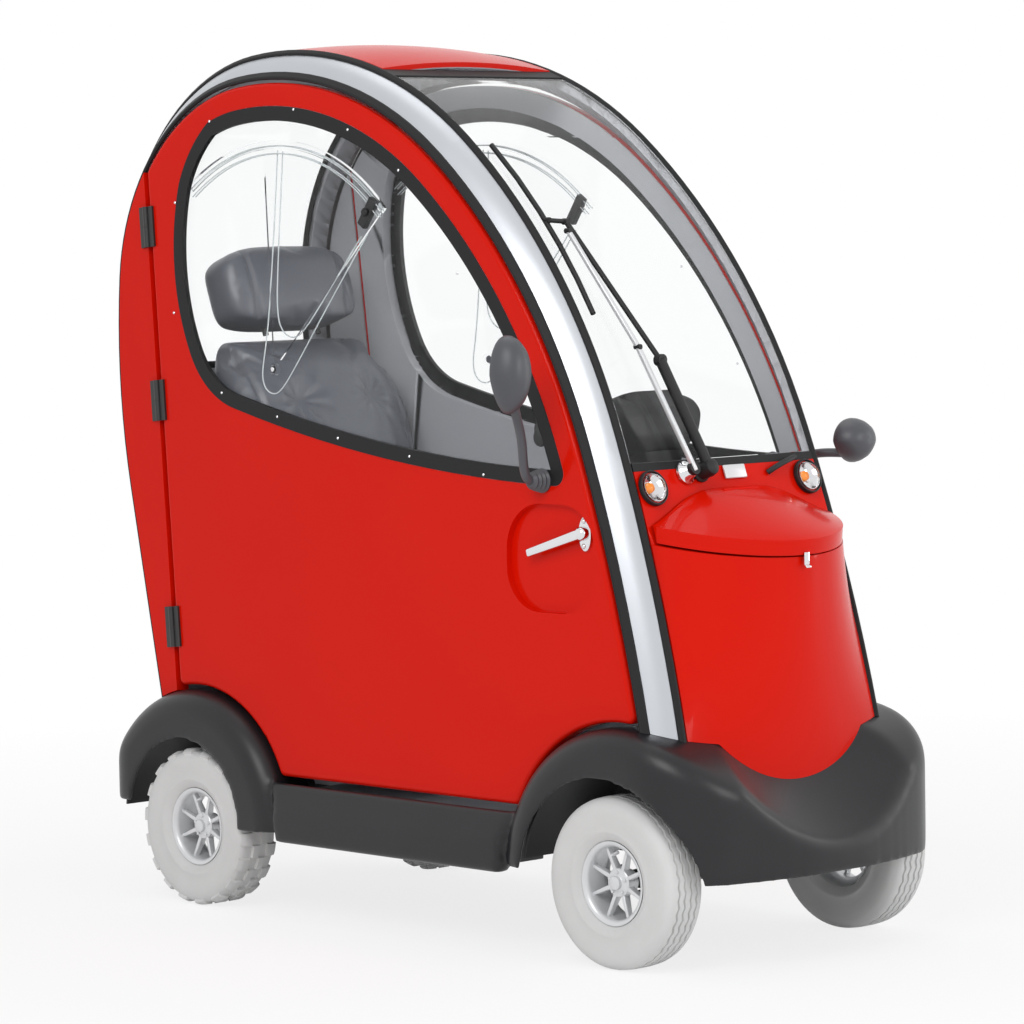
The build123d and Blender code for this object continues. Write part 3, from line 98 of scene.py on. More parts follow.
# %% [markdown]
# ## Floor, sky and lamps
#
# A white studio lights glossy paint mostly by what the paint mirrors, so the sky does most of the work
# and large soft lamps only add shape. The sky is plain white to the eye and in mirrors, and dimmer as a
# light, which keeps every colour near the value it was written with. The floor glows white in the same
# way, all of it far out and a little less near the wheels, so that their shadows show.

# %% Sky
SKY_SEEN = 1.0
SKY_LIGHT = 0.55

scene = bpy.context.scene
scene.view_settings.view_transform = "Standard"


def seen_rays(tree):
    """Mask of the rays that show a surface: straight to the camera, in a mirror or through glass."""
    path = tree.nodes.new("ShaderNodeLightPath")
    mask = path.outputs["Is Camera Ray"]
    for label in ("Is Glossy Ray", "Is Transmission Ray"):
        either = tree.nodes.new("ShaderNodeMath")
        either.operation = "MAXIMUM"
        tree.links.new(mask, either.inputs[0])
        tree.links.new(path.outputs[label], either.inputs[1])
        mask = either.outputs[0]
    return mask


def mixed(tree, mask, first, second):
    """Mix of two shaders, the second where the mask is 1."""
    mix = tree.nodes.new("ShaderNodeMixShader")
    tree.links.new(mask, mix.inputs["Fac"])
    tree.links.new(first.outputs[0], mix.inputs[1])
    tree.links.new(second.outputs[0], mix.inputs[2])
    return mix.outputs[0]


world = bpy.data.worlds.new("white_studio")
scene.world = world
world.use_nodes = True
sky = world.node_tree
sky.nodes.clear()
sky_out = sky.nodes.new("ShaderNodeOutputWorld")
sky_seen = sky.nodes.new("ShaderNodeBackground")
sky_seen.inputs["Color"].default_value = (1, 1, 1, 1)
sky_seen.inputs["Strength"].default_value = SKY_SEEN
sky_light = sky.nodes.new("ShaderNodeBackground")
sky_light.inputs["Color"].default_value = (0.97, 0.985, 1, 1)
sky_light.inputs["Strength"].default_value = SKY_LIGHT
sky.links.new(mixed(sky, seen_rays(sky), sky_light, sky_seen), sky_out.inputs["Surface"])
print("sky:", world.name)

# %% Lamps


def soft_lamp(name, place, aim, size, watts, height=None):
    """Soft lamp that looks at a point, square or with its own height."""
    bpy.ops.object.select_all(action="DESELECT")
    bpy.ops.object.light_add(type="AREA", location=place)
    lamp = bpy.context.object
    lamp.name = name
    lamp.rotation_euler = (Vector(aim) - Vector(place)).to_track_quat("-Z", "Y").to_euler()
    lamp.data.shape = "RECTANGLE"
    lamp.data.size = size
    lamp.data.size_y = height or size
    lamp.data.energy = watts


LAMPS = (  # name, place, aim, size, watts, and a height where it isn't square
    ("key_lamp", (2.2, -4.2, 4.0), (0, 0, 0.8), 2.6, 95),
    ("front_lamp", (5.0, 0.6, 2.2), (0.3, 0, 0.8), 1.6, 40),
    ("roof_lamp", (-0.6, 0.4, 4.6), (0, 0, 1.2), 2.4, 18),
    ("streak_lamp", (3.0, 4.2, 1.4), (0.7, 0, 0.6), 0.35, 22, 2.6),
)
for lamp_row in LAMPS:
    soft_lamp(*lamp_row)
print("lamps:", [row[0] for row in LAMPS])

# %% Floor
FLOOR_SIZE = 60
FLOOR_WHITE = (0.93, 0.93, 0.93, 1)
FLOOR_FADE = {"From Min": 1.2, "From Max": 3.5, "To Min": 0.80, "To Max": 1.0}  # metres out, share of glow

bpy.ops.object.select_all(action="DESELECT")
bpy.ops.mesh.primitive_plane_add(size=FLOOR_SIZE)
floor = bpy.context.object
floor.name = "studio_floor"
floor_paint = bpy.data.materials.new("studio_floor_paint")
floor_paint.use_nodes = True
floor_tree = floor_paint.node_tree
floor_matt = floor_tree.nodes["Principled BSDF"]
floor_matt.inputs["Base Color"].default_value = FLOOR_WHITE
floor_matt.inputs["Roughness"].default_value = 0.75
floor_glow = floor_tree.nodes.new("ShaderNodeEmission")
floor_glow.inputs["Strength"].default_value = 1.0
floor_place = floor_tree.nodes.new("ShaderNodeTexCoord")
floor_away = floor_tree.nodes.new("ShaderNodeVectorMath")
floor_away.operation = "LENGTH"
floor_fade = floor_tree.nodes.new("ShaderNodeMapRange")
for label, value in FLOOR_FADE.items():
    floor_fade.inputs[label].default_value = value
floor_share = floor_tree.nodes.new("ShaderNodeMath")
floor_share.operation = "MULTIPLY"
floor_tree.links.new(floor_place.outputs["Object"], floor_away.inputs[0])
floor_tree.links.new(floor_away.outputs["Value"], floor_fade.inputs["Value"])
floor_tree.links.new(seen_rays(floor_tree), floor_share.inputs[0])
floor_tree.links.new(floor_fade.outputs["Result"], floor_share.inputs[1])
floor_surface = mixed(floor_tree, floor_share.outputs[0], floor_matt, floor_glow)
floor_tree.links.new(floor_surface, floor_tree.nodes["Material Output"].inputs["Surface"])
floor.data.materials.append(floor_paint)
print("floor:", floor.name)

# %% [markdown]
# ## Shared surface effects
#
# Real finishes are never one flat value: paint drifts a little in shade and shine, and moulded plastic
# has a pebble grain. Two small node groups give those effects, each with named inputs, so that every
# finish below can place them with its own numbers instead of rebuilding the nodes.

# %% Node groups


def new_group(name, inputs, outputs):
    """Empty shader group with named sockets; returns the group, its input node and its output node."""
    group = bpy.data.node_groups.new(name, "ShaderNodeTree")
    for label, kind, value in inputs:
        socket = group.interface.new_socket(label, in_out="INPUT", socket_type=kind)
        socket.default_value = value
    for label, kind in outputs:
        group.interface.new_socket(label, in_out="OUTPUT", socket_type=kind)
    return group, group.nodes.new("NodeGroupInput"), group.nodes.new("NodeGroupOutput")


def math_node(tree, operation, first, second):
    """Math node with two inputs, each a socket or a number."""
    node = tree.nodes.new("ShaderNodeMath")
    node.operation = operation
    for slot_number, value in enumerate((first, second)):
        if isinstance(value, (int, float)):
            node.inputs[slot_number].default_value = value
        else:
            tree.links.new(value, node.inputs[slot_number])
    return node.outputs[0]


def noise_node(tree, scale, detail, roughness=0.5):
    """Noise on Object coordinates."""
    where = tree.nodes.new("ShaderNodeTexCoord")
    noise = tree.nodes.new("ShaderNodeTexNoise")
    noise.inputs["Detail"].default_value = detail
    noise.inputs["Roughness"].default_value = roughness
    tree.links.new(where.outputs["Object"], noise.inputs["Vector"])
    if isinstance(scale, (int, float)):
        noise.inputs["Scale"].default_value = scale
    else:
        tree.links.new(scale, noise.inputs["Scale"])
    return noise.outputs["Fac"]


FLOAT, COLOUR = "NodeSocketFloat", "NodeSocketColor"

drift_group, drift_in, drift_out = new_group(
    "shade_drift",
    (("Colour", COLOUR, (0.5, 0.5, 0.5, 1)), ("Other", COLOUR, (0.4, 0.4, 0.4, 1)),
     ("Scale", FLOAT, 6.0), ("Roughness", FLOAT, 0.4), ("Spread", FLOAT, 0.1)),
    (("Colour", COLOUR), ("Roughness", FLOAT)),
)
drift_noise = noise_node(drift_group, drift_in.outputs["Scale"], 4.0)
drift_mix = drift_group.nodes.new("ShaderNodeMix")
drift_mix.data_type = "RGBA"
drift_group.links.new(drift_noise, drift_mix.inputs["Factor"])
MIX_FIRST, MIX_SECOND, MIX_RESULT = 6, 7, 2  # the colour sockets of the mix node
drift_group.links.new(drift_in.outputs["Colour"], drift_mix.inputs[MIX_FIRST])
drift_group.links.new(drift_in.outputs["Other"], drift_mix.inputs[MIX_SECOND])
drift_group.links.new(drift_mix.outputs[MIX_RESULT], drift_out.inputs["Colour"])
drift_swing = math_node(drift_group, "SUBTRACT", drift_noise, 0.5)
drift_swing = math_node(drift_group, "MULTIPLY", drift_swing, drift_in.outputs["Spread"])
drift_rough = math_node(drift_group, "ADD", drift_swing, drift_in.outputs["Roughness"])
drift_group.links.new(drift_rough, drift_out.inputs["Roughness"])

grain_group, grain_in, grain_out = new_group(
    "pebble_grain",
    (("Scale", FLOAT, 900.0), ("Cell Share", FLOAT, 0.5)),
    (("Height", FLOAT),),
)
grain_noise = noise_node(grain_group, grain_in.outputs["Scale"], 3.0)
grain_where = grain_group.nodes.new("ShaderNodeTexCoord")
grain_cells = grain_group.nodes.new("ShaderNodeTexVoronoi")
grain_group.links.new(grain_where.outputs["Object"], grain_cells.inputs["Vector"])
grain_group.links.new(grain_in.outputs["Scale"], grain_cells.inputs["Scale"])
grain_height = math_node(grain_group, "MULTIPLY", grain_cells.outputs["Distance"],
                         grain_in.outputs["Cell Share"])
grain_height = math_node(grain_group, "ADD", grain_height, grain_noise)
grain_group.links.new(grain_height, grain_out.inputs["Height"])
print("groups:", drift_group.name, grain_group.name)

# %% [markdown]
# ## Finishes
#
# Each finish starts from one Principled shader. The helper below wires the two groups to it and leaves
# the numbers that are the same all over, such as coat and transmission, on the shader's own sockets.
# Clear sheets also let shadow rays pass straight through, so that light reaches what is behind them.

# %% Finish helper
GRAIN_DEPTH = 0.001


def finish(name, colour, other, scale=6.0, roughness=0.4, spread=0.1, grain=0.0, grain_scale=900.0,
           cell_share=0.5, **sockets):
    """Material with drifting colour and roughness, a grain bump and plain values for the other sockets."""
    material = bpy.data.materials.new(name)
    material.use_nodes = True
    tree = material.node_tree
    shader = tree.nodes["Principled BSDF"]
    drift = tree.nodes.new("ShaderNodeGroup")
    drift.node_tree = drift_group
    drift.inputs["Colour"].default_value = (*colour, 1)
    drift.inputs["Other"].default_value = (*other, 1)
    drift.inputs["Scale"].default_value = scale
    drift.inputs["Roughness"].default_value = roughness
    drift.inputs["Spread"].default_value = spread
    tree.links.new(drift.outputs["Colour"], shader.inputs["Base Color"])
    tree.links.new(drift.outputs["Roughness"], shader.inputs["Roughness"])
    if grain:
        pebble = tree.nodes.new("ShaderNodeGroup")
        pebble.node_tree = grain_group
        pebble.inputs["Scale"].default_value = grain_scale
        pebble.inputs["Cell Share"].default_value = cell_share
        bump = tree.nodes.new("ShaderNodeBump")
        bump.inputs["Strength"].default_value = grain
        bump.inputs["Distance"].default_value = GRAIN_DEPTH
        tree.links.new(pebble.outputs["Height"], bump.inputs["Height"])
        tree.links.new(bump.outputs["Normal"], shader.inputs["Normal"])
    for label, value in sockets.items():
        shader.inputs[label.replace("_", " ")].default_value = value
    return material


# %% The finishes
red_paint = finish("gloss_red_paint", (0.76, 0.010, 0.001), (0.70, 0.007, 0.001), scale=2.5, roughness=0.24,
                   spread=0.05, grain=0.012, grain_scale=260, cell_share=0.0,
                   Specular_IOR_Level=0.05, Coat_Weight=0.18, Coat_Roughness=0.03, Coat_IOR=1.4)
black_shell = finish("satin_black_shell", (0.011, 0.011, 0.013), (0.017, 0.017, 0.019), scale=9,
                     roughness=0.34, spread=0.10, grain=0.05, grain_scale=1500, Specular_IOR_Level=0.4)
black_plastic = finish("matt_black_plastic", (0.012, 0.012, 0.013), (0.020, 0.020, 0.021), scale=14,
                       roughness=0.5, spread=0.15, grain=0.12, grain_scale=1300, Specular_IOR_Level=0.35)
black_steel = finish("black_steel_paint", (0.016, 0.016, 0.017), (0.03, 0.029, 0.028), scale=20,
                     roughness=0.42, spread=0.2, grain=0.05, grain_scale=700)
silver_band = finish("satin_silver_band", (0.56, 0.58, 0.61), (0.50, 0.52, 0.55), scale=8, roughness=0.34,
                     spread=0.08, grain=0.03, grain_scale=2200, Metallic=0.85)
seal_rubber = finish("seal_rubber", (0.009, 0.009, 0.010), (0.016, 0.016, 0.017), scale=30,
                     roughness=0.55, spread=0.2, grain=0.06, grain_scale=2400, Specular_IOR_Level=0.25)
clear_glass = finish("clear_glazing", (0.99, 0.995, 0.995), (0.98, 0.99, 0.99), scale=3, roughness=0.02,
                     spread=0.01, Transmission_Weight=1.0, IOR=1.2)
acrylic = finish("clear_acrylic", (0.99, 0.99, 0.99), (0.98, 0.98, 0.985), scale=5, roughness=0.01,
                 spread=0.01, Transmission_Weight=1.0, IOR=1.08)
grey_liner = finish("grained_grey_lining", (0.44, 0.445, 0.475), (0.38, 0.385, 0.41), scale=5,
                    roughness=0.6, spread=0.1, grain=0.08, grain_scale=700)
chrome = finish("polished_chrome", (0.78, 0.78, 0.79), (0.72, 0.72, 0.74), scale=12, roughness=0.08,
                spread=0.05, Metallic=1.0)
seat_vinyl = finish("dark_seat_vinyl", (0.098, 0.104, 0.124), (0.082, 0.087, 0.104), scale=7,
                    roughness=0.38, spread=0.12, grain=0.03, grain_scale=420)
grey_rubber = finish("light_grey_rubber", (0.74, 0.74, 0.73), (0.68, 0.68, 0.67), scale=16, roughness=0.7,
                     spread=0.15, grain=0.12, grain_scale=1100)
rim_silver = finish("rim_silver_paint", (0.76, 0.77, 0.78), (0.70, 0.71, 0.72), scale=18, roughness=0.32,
                    spread=0.1, Metallic=0.35)
clear_lens = finish("clear_lamp_lens", (0.95, 0.95, 0.95), (0.92, 0.92, 0.92), scale=20, roughness=0.04,
                    spread=0.02, Transmission_Weight=1.0, IOR=1.3)
red_lens = finish("red_lamp_lens", (0.55, 0.01, 0.01), (0.45, 0.01, 0.01), scale=20, roughness=0.12,
                  spread=0.05, Coat_Weight=0.6)

for pane_paint in (clear_glass, acrylic, clear_lens):
    pane_tree = pane_paint.node_tree
    pane_shader = pane_tree.nodes["Principled BSDF"]
    pane_open = pane_tree.nodes.new("ShaderNodeBsdfTransparent")
    pane_path = pane_tree.nodes.new("ShaderNodeLightPath")
    pane_surface = mixed(pane_tree, pane_path.outputs["Is Shadow Ray"], pane_shader, pane_open)
    pane_tree.links.new(pane_surface, pane_tree.nodes["Material Output"].inputs["Surface"])

SLOT_FINISH = {
    "red_shell": red_paint, "black_body": black_shell, "black_plastic": black_plastic,
    "black_steel": black_steel, "silver_band": silver_band, "seal_rubber": seal_rubber,
    "clear_glass": clear_glass, "grey_liner": grey_liner, "bright_metal": chrome,
    "clear_lens": clear_lens, "red_lens": red_lens, "seat_vinyl": seat_vinyl,
    "rim_silver": rim_silver, "grey_tyre": grey_rubber,
}
for row in frame["record"]["subparts"]:
    solid = nodes[row["node"]]
    solid.data.materials.clear()
    solid.data.materials.append(SLOT_FINISH[row["material_slot"]])
print("finishes:", len(SLOT_FINISH))

# %% [markdown]
# ## Modelling helpers
#
# Every new piece is shaped with the same few hand tools: pick faces by where they are, turn a profile,
# stretch a bar, bend a pipe, press a modifier into the mesh. Operators act on whatever is selected, so
# each helper first clears the selection that came with the frame.

# %% Picking and pressing


def clear_pick():
    """Object mode with nothing selected."""
    if bpy.context.mode != "OBJECT":
        bpy.ops.object.mode_set(mode="OBJECT")
    bpy.ops.object.select_all(action="DESELECT")


def take(*things):
    """Selects objects and makes the first of them active."""
    clear_pick()
    for thing in things:
        thing.select_set(True)
    bpy.context.view_layer.objects.active = things[0]


def pick_faces(piece, rule):
    """Edit mode, with only the faces selected whose centre and normal answer the rule."""
    take(piece)
    bpy.ops.object.mode_set(mode="EDIT")
    bpy.ops.mesh.select_mode(type="FACE")
    bpy.ops.mesh.select_all(action="DESELECT")
    bpy.ops.object.mode_set(mode="OBJECT")
    for face in piece.data.polygons:
        face.select = bool(rule(face.center, face.normal))
    bpy.ops.object.mode_set(mode="EDIT")


def pick_points(piece, rule):
    """Edit mode, with only the points selected whose place answers the rule."""
    take(piece)
    bpy.ops.object.mode_set(mode="EDIT")
    bpy.ops.mesh.select_mode(type="VERT")
    bpy.ops.mesh.select_all(action="DESELECT")
    bpy.ops.object.mode_set(mode="OBJECT")
    for point in piece.data.vertices:
        point.select = bool(rule(point.co))
    bpy.ops.object.mode_set(mode="EDIT")


def press(piece, kind, **values):
    """Adds a modifier, sets it and applies it."""
    take(piece)
    modifier = piece.modifiers.new(kind.lower(), kind)
    for label, value in values.items():
        setattr(modifier, label, value)
    bpy.ops.object.modifier_apply(modifier=modifier.name)


def copy_of(piece):
    """Copy of a piece with its own mesh."""
    take(piece)
    bpy.ops.object.duplicate()
    return bpy.context.object


def joined(*things):
    """Several objects made one."""
    take(*things)
    bpy.ops.object.join()
    return bpy.context.object


def solid_copy(node):
    """Copy of a solid's mesh as a new object, its loose triangles merged."""
    piece = bpy.data.objects.new(node + "_copy", nodes[node].data.copy())
    scene.collection.objects.link(piece)
    piece.data.materials.clear()
    take(piece)
    bpy.ops.object.mode_set(mode="EDIT")
    bpy.ops.mesh.select_all(action="SELECT")
    bpy.ops.mesh.remove_doubles(threshold=0.00002)
    bpy.ops.object.mode_set(mode="OBJECT")
    return piece


def settle(piece, name, body, paint, stands_for=(), smooth=35):
    """Puts a finished piece's place into its mesh, names it, paints it and ties it to the frame."""
    take(piece)
    bpy.ops.object.transform_apply(location=True, rotation=True, scale=True)
    bpy.ops.object.shade_smooth_by_angle(angle=radians(smooth))
    piece.name = name
    piece.data.name = name
    piece.data.materials.clear()
    piece.data.materials.append(paint)
    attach(piece, body)
    if stands_for:
        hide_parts(*stands_for)
    return piece


# %% Turned, stretched and bent shapes


def lathe(points, steps=48):
    """Turned piece round Z: one point is drawn out through (radius, height) pairs and spun."""
    clear_pick()
    bpy.ops.mesh.primitive_plane_add(size=0.01)
    piece = bpy.context.object
    bpy.ops.object.mode_set(mode="EDIT")
    bpy.ops.mesh.select_mode(type="VERT")
    bpy.ops.mesh.select_all(action="SELECT")
    bpy.ops.mesh.merge(type="CENTER")
    bpy.ops.transform.translate(value=(points[0][0], 0, points[0][1]))
    for before, after in zip(points, points[1:]):
        step = (after[0] - before[0], 0, after[1] - before[1])
        bpy.ops.mesh.extrude_region_move(TRANSFORM_OT_translate={"value": step})
    bpy.ops.mesh.select_all(action="SELECT")
    bpy.ops.mesh.spin(steps=steps, angle=2 * pi, center=(0, 0, 0), axis=(0, 0, 1))
    bpy.ops.mesh.select_all(action="SELECT")
    bpy.ops.mesh.remove_doubles(threshold=0.00001)
    bpy.ops.mesh.normals_make_consistent(inside=False)
    bpy.ops.object.mode_set(mode="OBJECT")
    return piece


def stand(piece, place, axis, across=None):
    """Moves a piece from the origin to its place, with its Z along an axis and its X towards another."""
    z = Vector(axis).normalized()
    if across is None:
        across = (0, 0, 1) if abs(z.z) < 0.9 else (1, 0, 0)
    y = z.cross(Vector(across)).normalized()
    x = y.cross(z)
    piece.matrix_world = Matrix((
        (x.x, y.x, z.x, place[0]),
        (x.y, y.y, z.y, place[1]),
        (x.z, y.z, z.z, place[2]),
        (0, 0, 0, 1),
    ))
    take(piece)
    bpy.ops.object.transform_apply(location=True, rotation=True, scale=True)
    return piece


def bar(start, end, width, depth, across, edge=0.002, taper=1.0):
    """Bar between two points, its width along across; the far end may taper."""
    start, end = Vector(start), Vector(end)
    clear_pick()
    bpy.ops.mesh.primitive_cube_add(size=1)
    piece = bpy.context.object
    piece.scale = (width, depth, (end - start).length)
    bpy.ops.object.transform_apply(location=False, rotation=False, scale=True)
    if taper != 1.0:
        pick_faces(piece, lambda centre, normal: normal.z > 0.5)
        bpy.ops.transform.resize(value=(taper, taper, 1))
        bpy.ops.object.mode_set(mode="OBJECT")
    press(piece, "BEVEL", width=edge, segments=3, limit_method="ANGLE", angle_limit=radians(30))
    return stand(piece, (start + end) / 2, end - start, across)


def pipe(points, radius, sides=6):
    """Smooth round pipe along control points."""
    clear_pick()
    bpy.ops.curve.primitive_nurbs_path_add()
    wire = bpy.context.object
    wire.data.splines.clear()
    spline = wire.data.splines.new("NURBS")
    spline.points.add(len(points) - 1)
    for knot, place in zip(spline.points, points):
        knot.co = (*place, 1)
    spline.order_u = min(4, len(points))
    spline.use_endpoint_u = True
    wire.data.bevel_depth = radius
    wire.data.bevel_resolution = sides
    wire.data.use_fill_caps = True
    bpy.ops.object.convert(target="MESH")
    return bpy.context.object


def mirrored(piece):
    """Copy of a piece on the other side of the middle plane."""
    twin = copy_of(piece)
    bpy.ops.transform.mirror(constraint_axis=(False, True, False), center_override=(0, 0, 0))
    bpy.ops.object.transform_apply(location=True, rotation=True, scale=True)
    bpy.ops.object.mode_set(mode="EDIT")
    bpy.ops.mesh.select_all(action="SELECT")
    bpy.ops.mesh.normals_make_consistent(inside=False)
    bpy.ops.object.mode_set(mode="OBJECT")
    return twin


SIDE_LEAN = radians(1.3)
SIDE_Y = -0.262


def on_side(u, v, w):
    """Place on the leaned right side: u along the vehicle, v up the side and w out of it."""
    y = SIDE_Y + v * sin(SIDE_LEAN) - w * cos(SIDE_LEAN)
    z = v * cos(SIDE_LEAN) + w * sin(SIDE_LEAN)
    return Vector((u, y, z))


print("helpers ready")

# %% [markdown]
# ## The black skirt
#
# Both bumpers and the sills were drawn as separate solids, but on the vehicle they read as one satin
# moulding with soft junctions. A voxel remesh melts copies of the three into a single skin, and a few
# rounds of smoothing relax the corners, which no bevel could do across three pieces.

# %% One moulding from bumpers and sills
SKIRT_NODES = ("front_bumper", "sills", "rear_bumper")
SKIRT_VOXEL = 0.006
SKIRT_ROUNDS = 12

skirt = joined(*[solid_copy(node) for node in SKIRT_NODES])
press(skirt, "REMESH", mode="VOXEL", voxel_size=SKIRT_VOXEL)
press(skirt, "SMOOTH", factor=0.5, iterations=SKIRT_ROUNDS)
settle(skirt, "skirt_moulding", "body", black_shell, SKIRT_NODES, smooth=60)
print("skirt faces:", len(skirt.data.polygons))

# %% [markdown]
# ## Tyres
#
# A tyre is a profile turned round its axle. The front tyres have four wavy grooves: the profile carries
# the grooves, and every second spoke of the turned mesh is then slid to one side and the other in turn.
# The rear tyres have blocks, which come from picking faces of the smooth crown in a chequer and raising
# them with an inset.

# %% Front tyres
TYRE_SIDE = [  # radius, and distance from the middle of the tread
    (0.0765, 0.0330), (0.0815, 0.0385), (0.0900, 0.0425), (0.0925, 0.0440), (0.0960, 0.0440),
    (0.0985, 0.0432), (0.1120, 0.0462), (0.1280, 0.0470), (0.1390, 0.0456), (0.1460, 0.0418),
    (0.1500, 0.0375),
]
FRONT_CROWN = [
    (0.1524, 0.0345), (0.1538, 0.0290), (0.1542, 0.0244), (0.1492, 0.0230), (0.1492, 0.0206),
    (0.1546, 0.0192), (0.1550, 0.0104), (0.1500, 0.0090), (0.1500, 0.0066), (0.1550, 0.0052),
]
WAVES = 40
WAVE_SLIDE = 0.0020
WAVE_HALF_WIDTH = 0.026
WAVE_RADIUS = 0.148


def both_sides(half):
    """Profile from one side of the wheel over the middle to the other."""
    return half + [(radius, -height) for radius, height in reversed(half)]


def on_spoke(turn):
    """Rule for the crown points of every fourth spoke, counted from spoke turn."""
    def rule(place):
        spoke = round(atan2(place.y, place.x) / (2 * pi) * 4 * WAVES)
        return spoke % 4 == turn and abs(place.z) < WAVE_HALF_WIDTH and place.xy.length > WAVE_RADIUS
    return rule


front_tyre = lathe(both_sides(TYRE_SIDE + FRONT_CROWN), steps=4 * WAVES)
for turn, slide in ((1, WAVE_SLIDE), (3, -WAVE_SLIDE)):
    pick_points(front_tyre, on_spoke(turn))
    bpy.ops.transform.translate(value=(0, 0, slide))
    bpy.ops.object.mode_set(mode="OBJECT")
print("front tyre faces:", len(front_tyre.data.polygons))

# %% Rear tyres
REAR_SHOULDER = [(0.1430, 0.0425), (0.1470, 0.0380)]
REAR_CROWN = [(0.1488, 0.0330), (0.1490, 0.0190), (0.1490, 0.0170), (0.1490, 0.0010)]
REAR_STEPS = 72
BLOCK_RADIUS = 0.1435
BLOCK_HEIGHT = 0.0052
ROW_SPLIT = 0.018


def is_block(centre, normal):
    """Crown faces in pairs of spokes, with the rows set off against each other."""
    across = abs(centre.z)
    in_groove = across < 0.0012 or abs(across - ROW_SPLIT) < 0.0012
    if centre.xy.length < BLOCK_RADIUS or in_groove:
        return False
    spoke = int((atan2(centre.y, centre.x) + pi) / (2 * pi) * REAR_STEPS)
    row = 0 if across < ROW_SPLIT else 1
    return (spoke + row * 2 + (2 if centre.z > 0 else 0)) % 4 < 2


rear_tyre = lathe(both_sides(TYRE_SIDE[:-2] + REAR_SHOULDER + REAR_CROWN), steps=REAR_STEPS)
pick_faces(rear_tyre, is_block)
bpy.ops.mesh.inset(thickness=0.0011, depth=BLOCK_HEIGHT, use_individual=False)
bpy.ops.object.mode_set(mode="OBJECT")
print("rear tyre faces:", len(rear_tyre.data.polygons))

# %% [markdown]
# ## Rims
#
# The rim is a turned ring, closed round its own section, with eight thin spokes set back inside it and
# a turned hub with bolts. Each spoke is a bar that tapers towards the ring, laid out at its own angle
# about the axle.

# %% Rim, spokes and hub
RING = [
    (0.0745, 0.0325), (0.0760, 0.0345), (0.0745, 0.0352), (0.0705, 0.0340), (0.0668, 0.0305),
    (0.0650, 0.0235), (0.0648, 0.0060), (0.0610, -0.0040), (0.0610, -0.0150), (0.0650, -0.0240),
    (0.0720, -0.0325), (0.0755, -0.0350), (0.0760, -0.0335), (0.0700, -0.0200), (0.0665, -0.0040),
    (0.0700, 0.0200), (0.0745, 0.0325),
]
HUB = [
    (0.0, 0.0300), (0.0090, 0.0300), (0.0118, 0.0285), (0.0125, 0.0255), (0.0125, 0.0225),
    (0.0150, 0.0205), (0.0245, 0.0195), (0.0262, 0.0175), (0.0262, 0.0020), (0.0225, -0.0100),
    (0.0, -0.0100),
]
VALVE = [
    (0.0, 0.030), (0.0016, 0.030), (0.0024, 0.029), (0.0024, 0.021), (0.0032, 0.020), (0.0032, 0.012),
    (0.0, 0.012),
]
SPOKES = 8
BOLTS = 5
BOLT_CIRCLE = 0.0198

rim_parts = [lathe(RING, steps=72), lathe(HUB, steps=48)]
for number in range(SPOKES):
    turn = radians(360 / SPOKES * (number + 0.5))
    out = Vector((cos(turn), sin(turn), 0))
    aside = Vector((-sin(turn), cos(turn), 0))
    inner = out * 0.022 + Vector((0, 0, 0.010))
    outer = out * 0.0662 + Vector((0, 0, 0.016))
    rim_parts.append(bar(inner, outer, 0.0085, 0.016, aside, edge=0.0016, taper=0.72))
for number in range(BOLTS):
    turn = radians(360 / BOLTS * number)
    bolt_place = (BOLT_CIRCLE * cos(turn), BOLT_CIRCLE * sin(turn), 0.0208)
    clear_pick()
    bpy.ops.mesh.primitive_cylinder_add(vertices=6, radius=0.0034, depth=0.005, location=bolt_place)
    bolt = bpy.context.object
    press(bolt, "BEVEL", width=0.0006, segments=2)
    rim_parts.append(bolt)
rim_parts.append(stand(lathe(VALVE, steps=16), (0.0575, 0.0, 0.006), (-0.25, 0, 1)))
rim = joined(*rim_parts)
print("rim faces:", len(rim.data.polygons))

# %% Wheels in place
FRONT_AXLE_X = 0.605
REAR_AXLE_X = -0.545
HALF_TRACK = 0.300
WHEEL_Z = 0.155
SIDES = (("right", -1), ("left", 1))

for end, axle_x, tyre in (("front", FRONT_AXLE_X, front_tyre), ("rear", REAR_AXLE_X, rear_tyre)):
    wheel_kinds = (("tyre", tyre, "grey_tyre", grey_rubber), ("rim", rim, "rim_silver", rim_silver))
    for side, sign in SIDES:
        corner = end + "_" + side
        for kind, model, slot_name, paint in wheel_kinds:
            node = kind + "_" + corner
            wheel_piece = stand(copy_of(model), (axle_x, sign * HALF_TRACK, WHEEL_Z), (0, sign, 0))
            settle(wheel_piece, "turned_" + node, "wheel_" + corner, paint, (node,), smooth=40)
for model in (front_tyre, rear_tyre, rim):
    bpy.data.objects.remove(model)
print("wheels: 4")

# %% [markdown]
# ## Linings
#
# Inside, the doors, roof and corners are covered with grained grey sheet. The inner faces are already
# there in the solids, so each lining starts as a copy of a shell, keeps only the faces that look into
# the cabin, and is thickened inwards. Round the door windows it is no more than a film, because the
# black band fits there with little room to spare.

# %% Cabin linings
LINING = 0.0025
FILM = 0.0002
WINDOW_MIDDLE = Vector((-0.08, 0, 1.20))
WINDOW_FOOT_Z = 0.82


def inwards(centre, normal):
    """Faces that look to the middle plane from either side."""
    return normal.y * (1 if centre.y > 0 else -1) < -0.6


def window_edge(centre, normal):
    """Faces round the window opening of a door."""
    to_window = WINDOW_MIDDLE - Vector((centre.x, 0, centre.z))
    return abs(normal.y) < 0.35 and normal.dot(to_window) > 0 and centre.z > WINDOW_FOOT_Z


def downwards(centre, normal):
    """Faces that look down."""
    return normal.z < -0.4


def forwards(centre, normal):
    """Faces that look forward, clear of the side walls."""
    return normal.x > 0.45 and abs(centre.y) < 0.235


